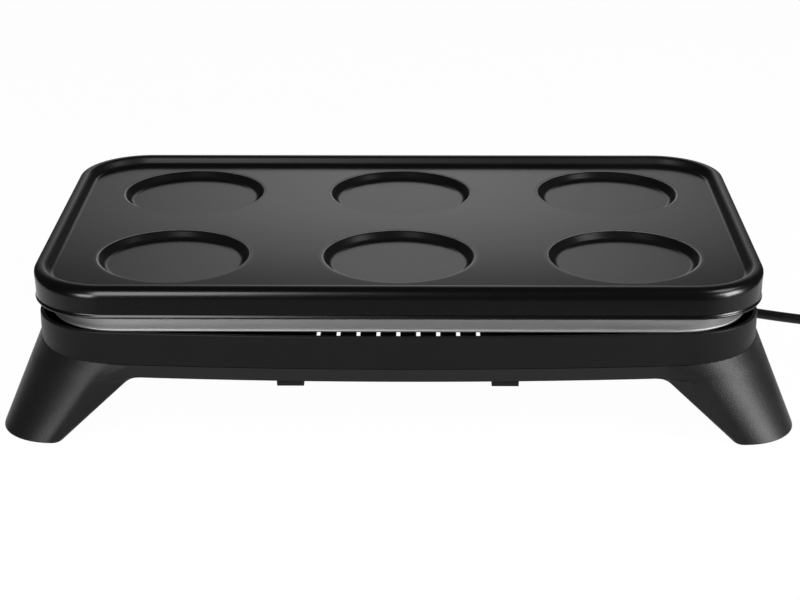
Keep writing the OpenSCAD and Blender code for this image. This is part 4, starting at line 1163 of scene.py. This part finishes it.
@dataclass
class Softbox:
    """Rectangular studio lamp."""

    name: str
    spot: Point
    aim: Point
    size: tuple[float, float]
    watts: float

    def build(self) -> bpy.types.Object:
        """Makes the lamp and turns it to its aim.

        Returns:
            The lamp.
        """
        data = bpy.data.lights.new(self.name, "AREA")
        data.shape = "RECTANGLE"
        data.size, data.size_y = self.size
        data.energy = self.watts
        lamp = bpy.data.objects.new(self.name, data)
        bpy.context.scene.collection.objects.link(lamp)
        away = Vector(self.aim) - Vector(self.spot)
        turned = away.to_track_quat("-Z", "Y").to_matrix().to_4x4()
        lamp.matrix_world = Matrix.Translation(self.spot) @ turned
        return lamp


@dataclass
class Studio:
    """White table and backdrop in a dim room, with softboxes in front and at the right."""

    room: float = 0.05
    backdrop_width: float = 0.18
    backdrop_front: tuple[float, float] = (0.1, 0.5)
    backdrop_top: tuple[float, float] = (0.38, 0.52)
    table_half: float = 9.0
    table_glow: float = 0.98
    table_colour: Colour = (0.8, 0.8, 0.8)
    lamps: tuple[Softbox, ...] = (
        Softbox(
            "front_left_high_lamp", (-0.315, -0.66, 0.8), (-0.18, -0.1, 0.09), (0.28, 0.65), 5.4
        ),
        Softbox(
            "front_left_low_lamp", (-0.92, -1.32, 0.68), (-0.2, -0.12, 0.04), (0.6, 0.4), 10.5
        ),
        Softbox("right_lamp", (1.05, -0.5, 0.52), (0.2, -0.1, 0.05), (0.5, 0.5), 16.5),
        Softbox("right_high_lamp", (0.6, -0.1, 0.8), (0.05, -0.05, 0.09), (0.3, 0.3), 1.6),
    )

    def build(self) -> None:
        """Makes the world, the table and the lamps."""
        bpy.context.scene.view_settings.view_transform = "Standard"
        self.make_world()
        self.make_table()
        for lamp in self.lamps:
            lamp.build()

    def make_world(self) -> None:
        """Shows white to the camera, and to the object a white backdrop in a dim room."""
        world = bpy.data.worlds.new("studio")
        world.use_nodes = True
        bpy.context.scene.world = world
        graph = Graph(world.node_tree)
        x, y, z = graph.split(graph.node("ShaderNodeTexCoord", output="Generated"))
        share = x / self.backdrop_width
        column = graph.node("ShaderNodeMath", {"operation": "EXPONENT"}, {0: share * share * -1.0})
        behind = y.rise(*self.backdrop_front)
        low = 1.0 - z.rise(*self.backdrop_top)
        glow = self.room + (1.0 - self.room) * (column * behind * low)
        ray = graph.node("ShaderNodeLightPath", output="Is Camera Ray")
        seen = ray.at_least(ray.other("Is Transmission Ray"))
        strength = seen + (1.0 - seen) * glow
        shader = graph.node(
            "ShaderNodeBackground", inputs={"Color": WHITE, "Strength": strength}
        )
        graph.add("ShaderNodeOutputWorld", inputs={"Surface": shader})

    def make_table(self) -> None:
        """Makes the white table, which keeps a faint shadow of the object."""
        h = self.table_half
        mesh = bpy.data.meshes.new("table")
        mesh.from_pydata([(-h, -h, 0), (h, -h, 0), (h, h, 0), (-h, h, 0)], [], [(0, 1, 2, 3)])
        table = bpy.data.objects.new("table", mesh)
        bpy.context.scene.collection.objects.link(table)
        made = bpy.data.materials.new("table_finish")
        made.use_nodes = True
        graph = Graph(made.node_tree)
        ray = graph.node("ShaderNodeLightPath", output="Is Camera Ray")
        mirrored = ray.at_least(ray.other("Is Glossy Ray"))
        seen = mirrored.at_least(ray.other("Is Transmission Ray"))
        lit = graph.node("ShaderNodeBsdfDiffuse", inputs={"Color": self.table_colour})
        glow = graph.node("ShaderNodeEmission", inputs={"Color": WHITE, "Strength": 1.0})
        share = seen * self.table_glow
        graph.surface(graph.node("ShaderNodeMixShader", inputs={0: share, 1: lit, 2: glow}))
        mesh.materials.append(made)


SUB_ASSEMBLIES: tuple[type[Assembly], ...] = (
    MainsCord,
    GriddlePlate,
    HeatTray,
    HeatingElement,
    Controls,
    Base,
    Wiring,
    PlugAndTie,
)


def main() -> None:
    """Builds the camera, the sub-assemblies and the studio in order."""
    logging.basicConfig(level=logging.INFO, format="%(message)s")
    for old in list(bpy.data.objects):
        bpy.data.objects.remove(old)
    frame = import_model()
    CameraRig().build()
    for kind in SUB_ASSEMBLIES:
        group = kind(frame)
        made = group.build()
        group.dress()
        LOG.info("%s: %d made, %d dressed", kind.__name__, len(made), len(group.finishes))
    Studio().build()


if __name__ == "__main__":
    main()
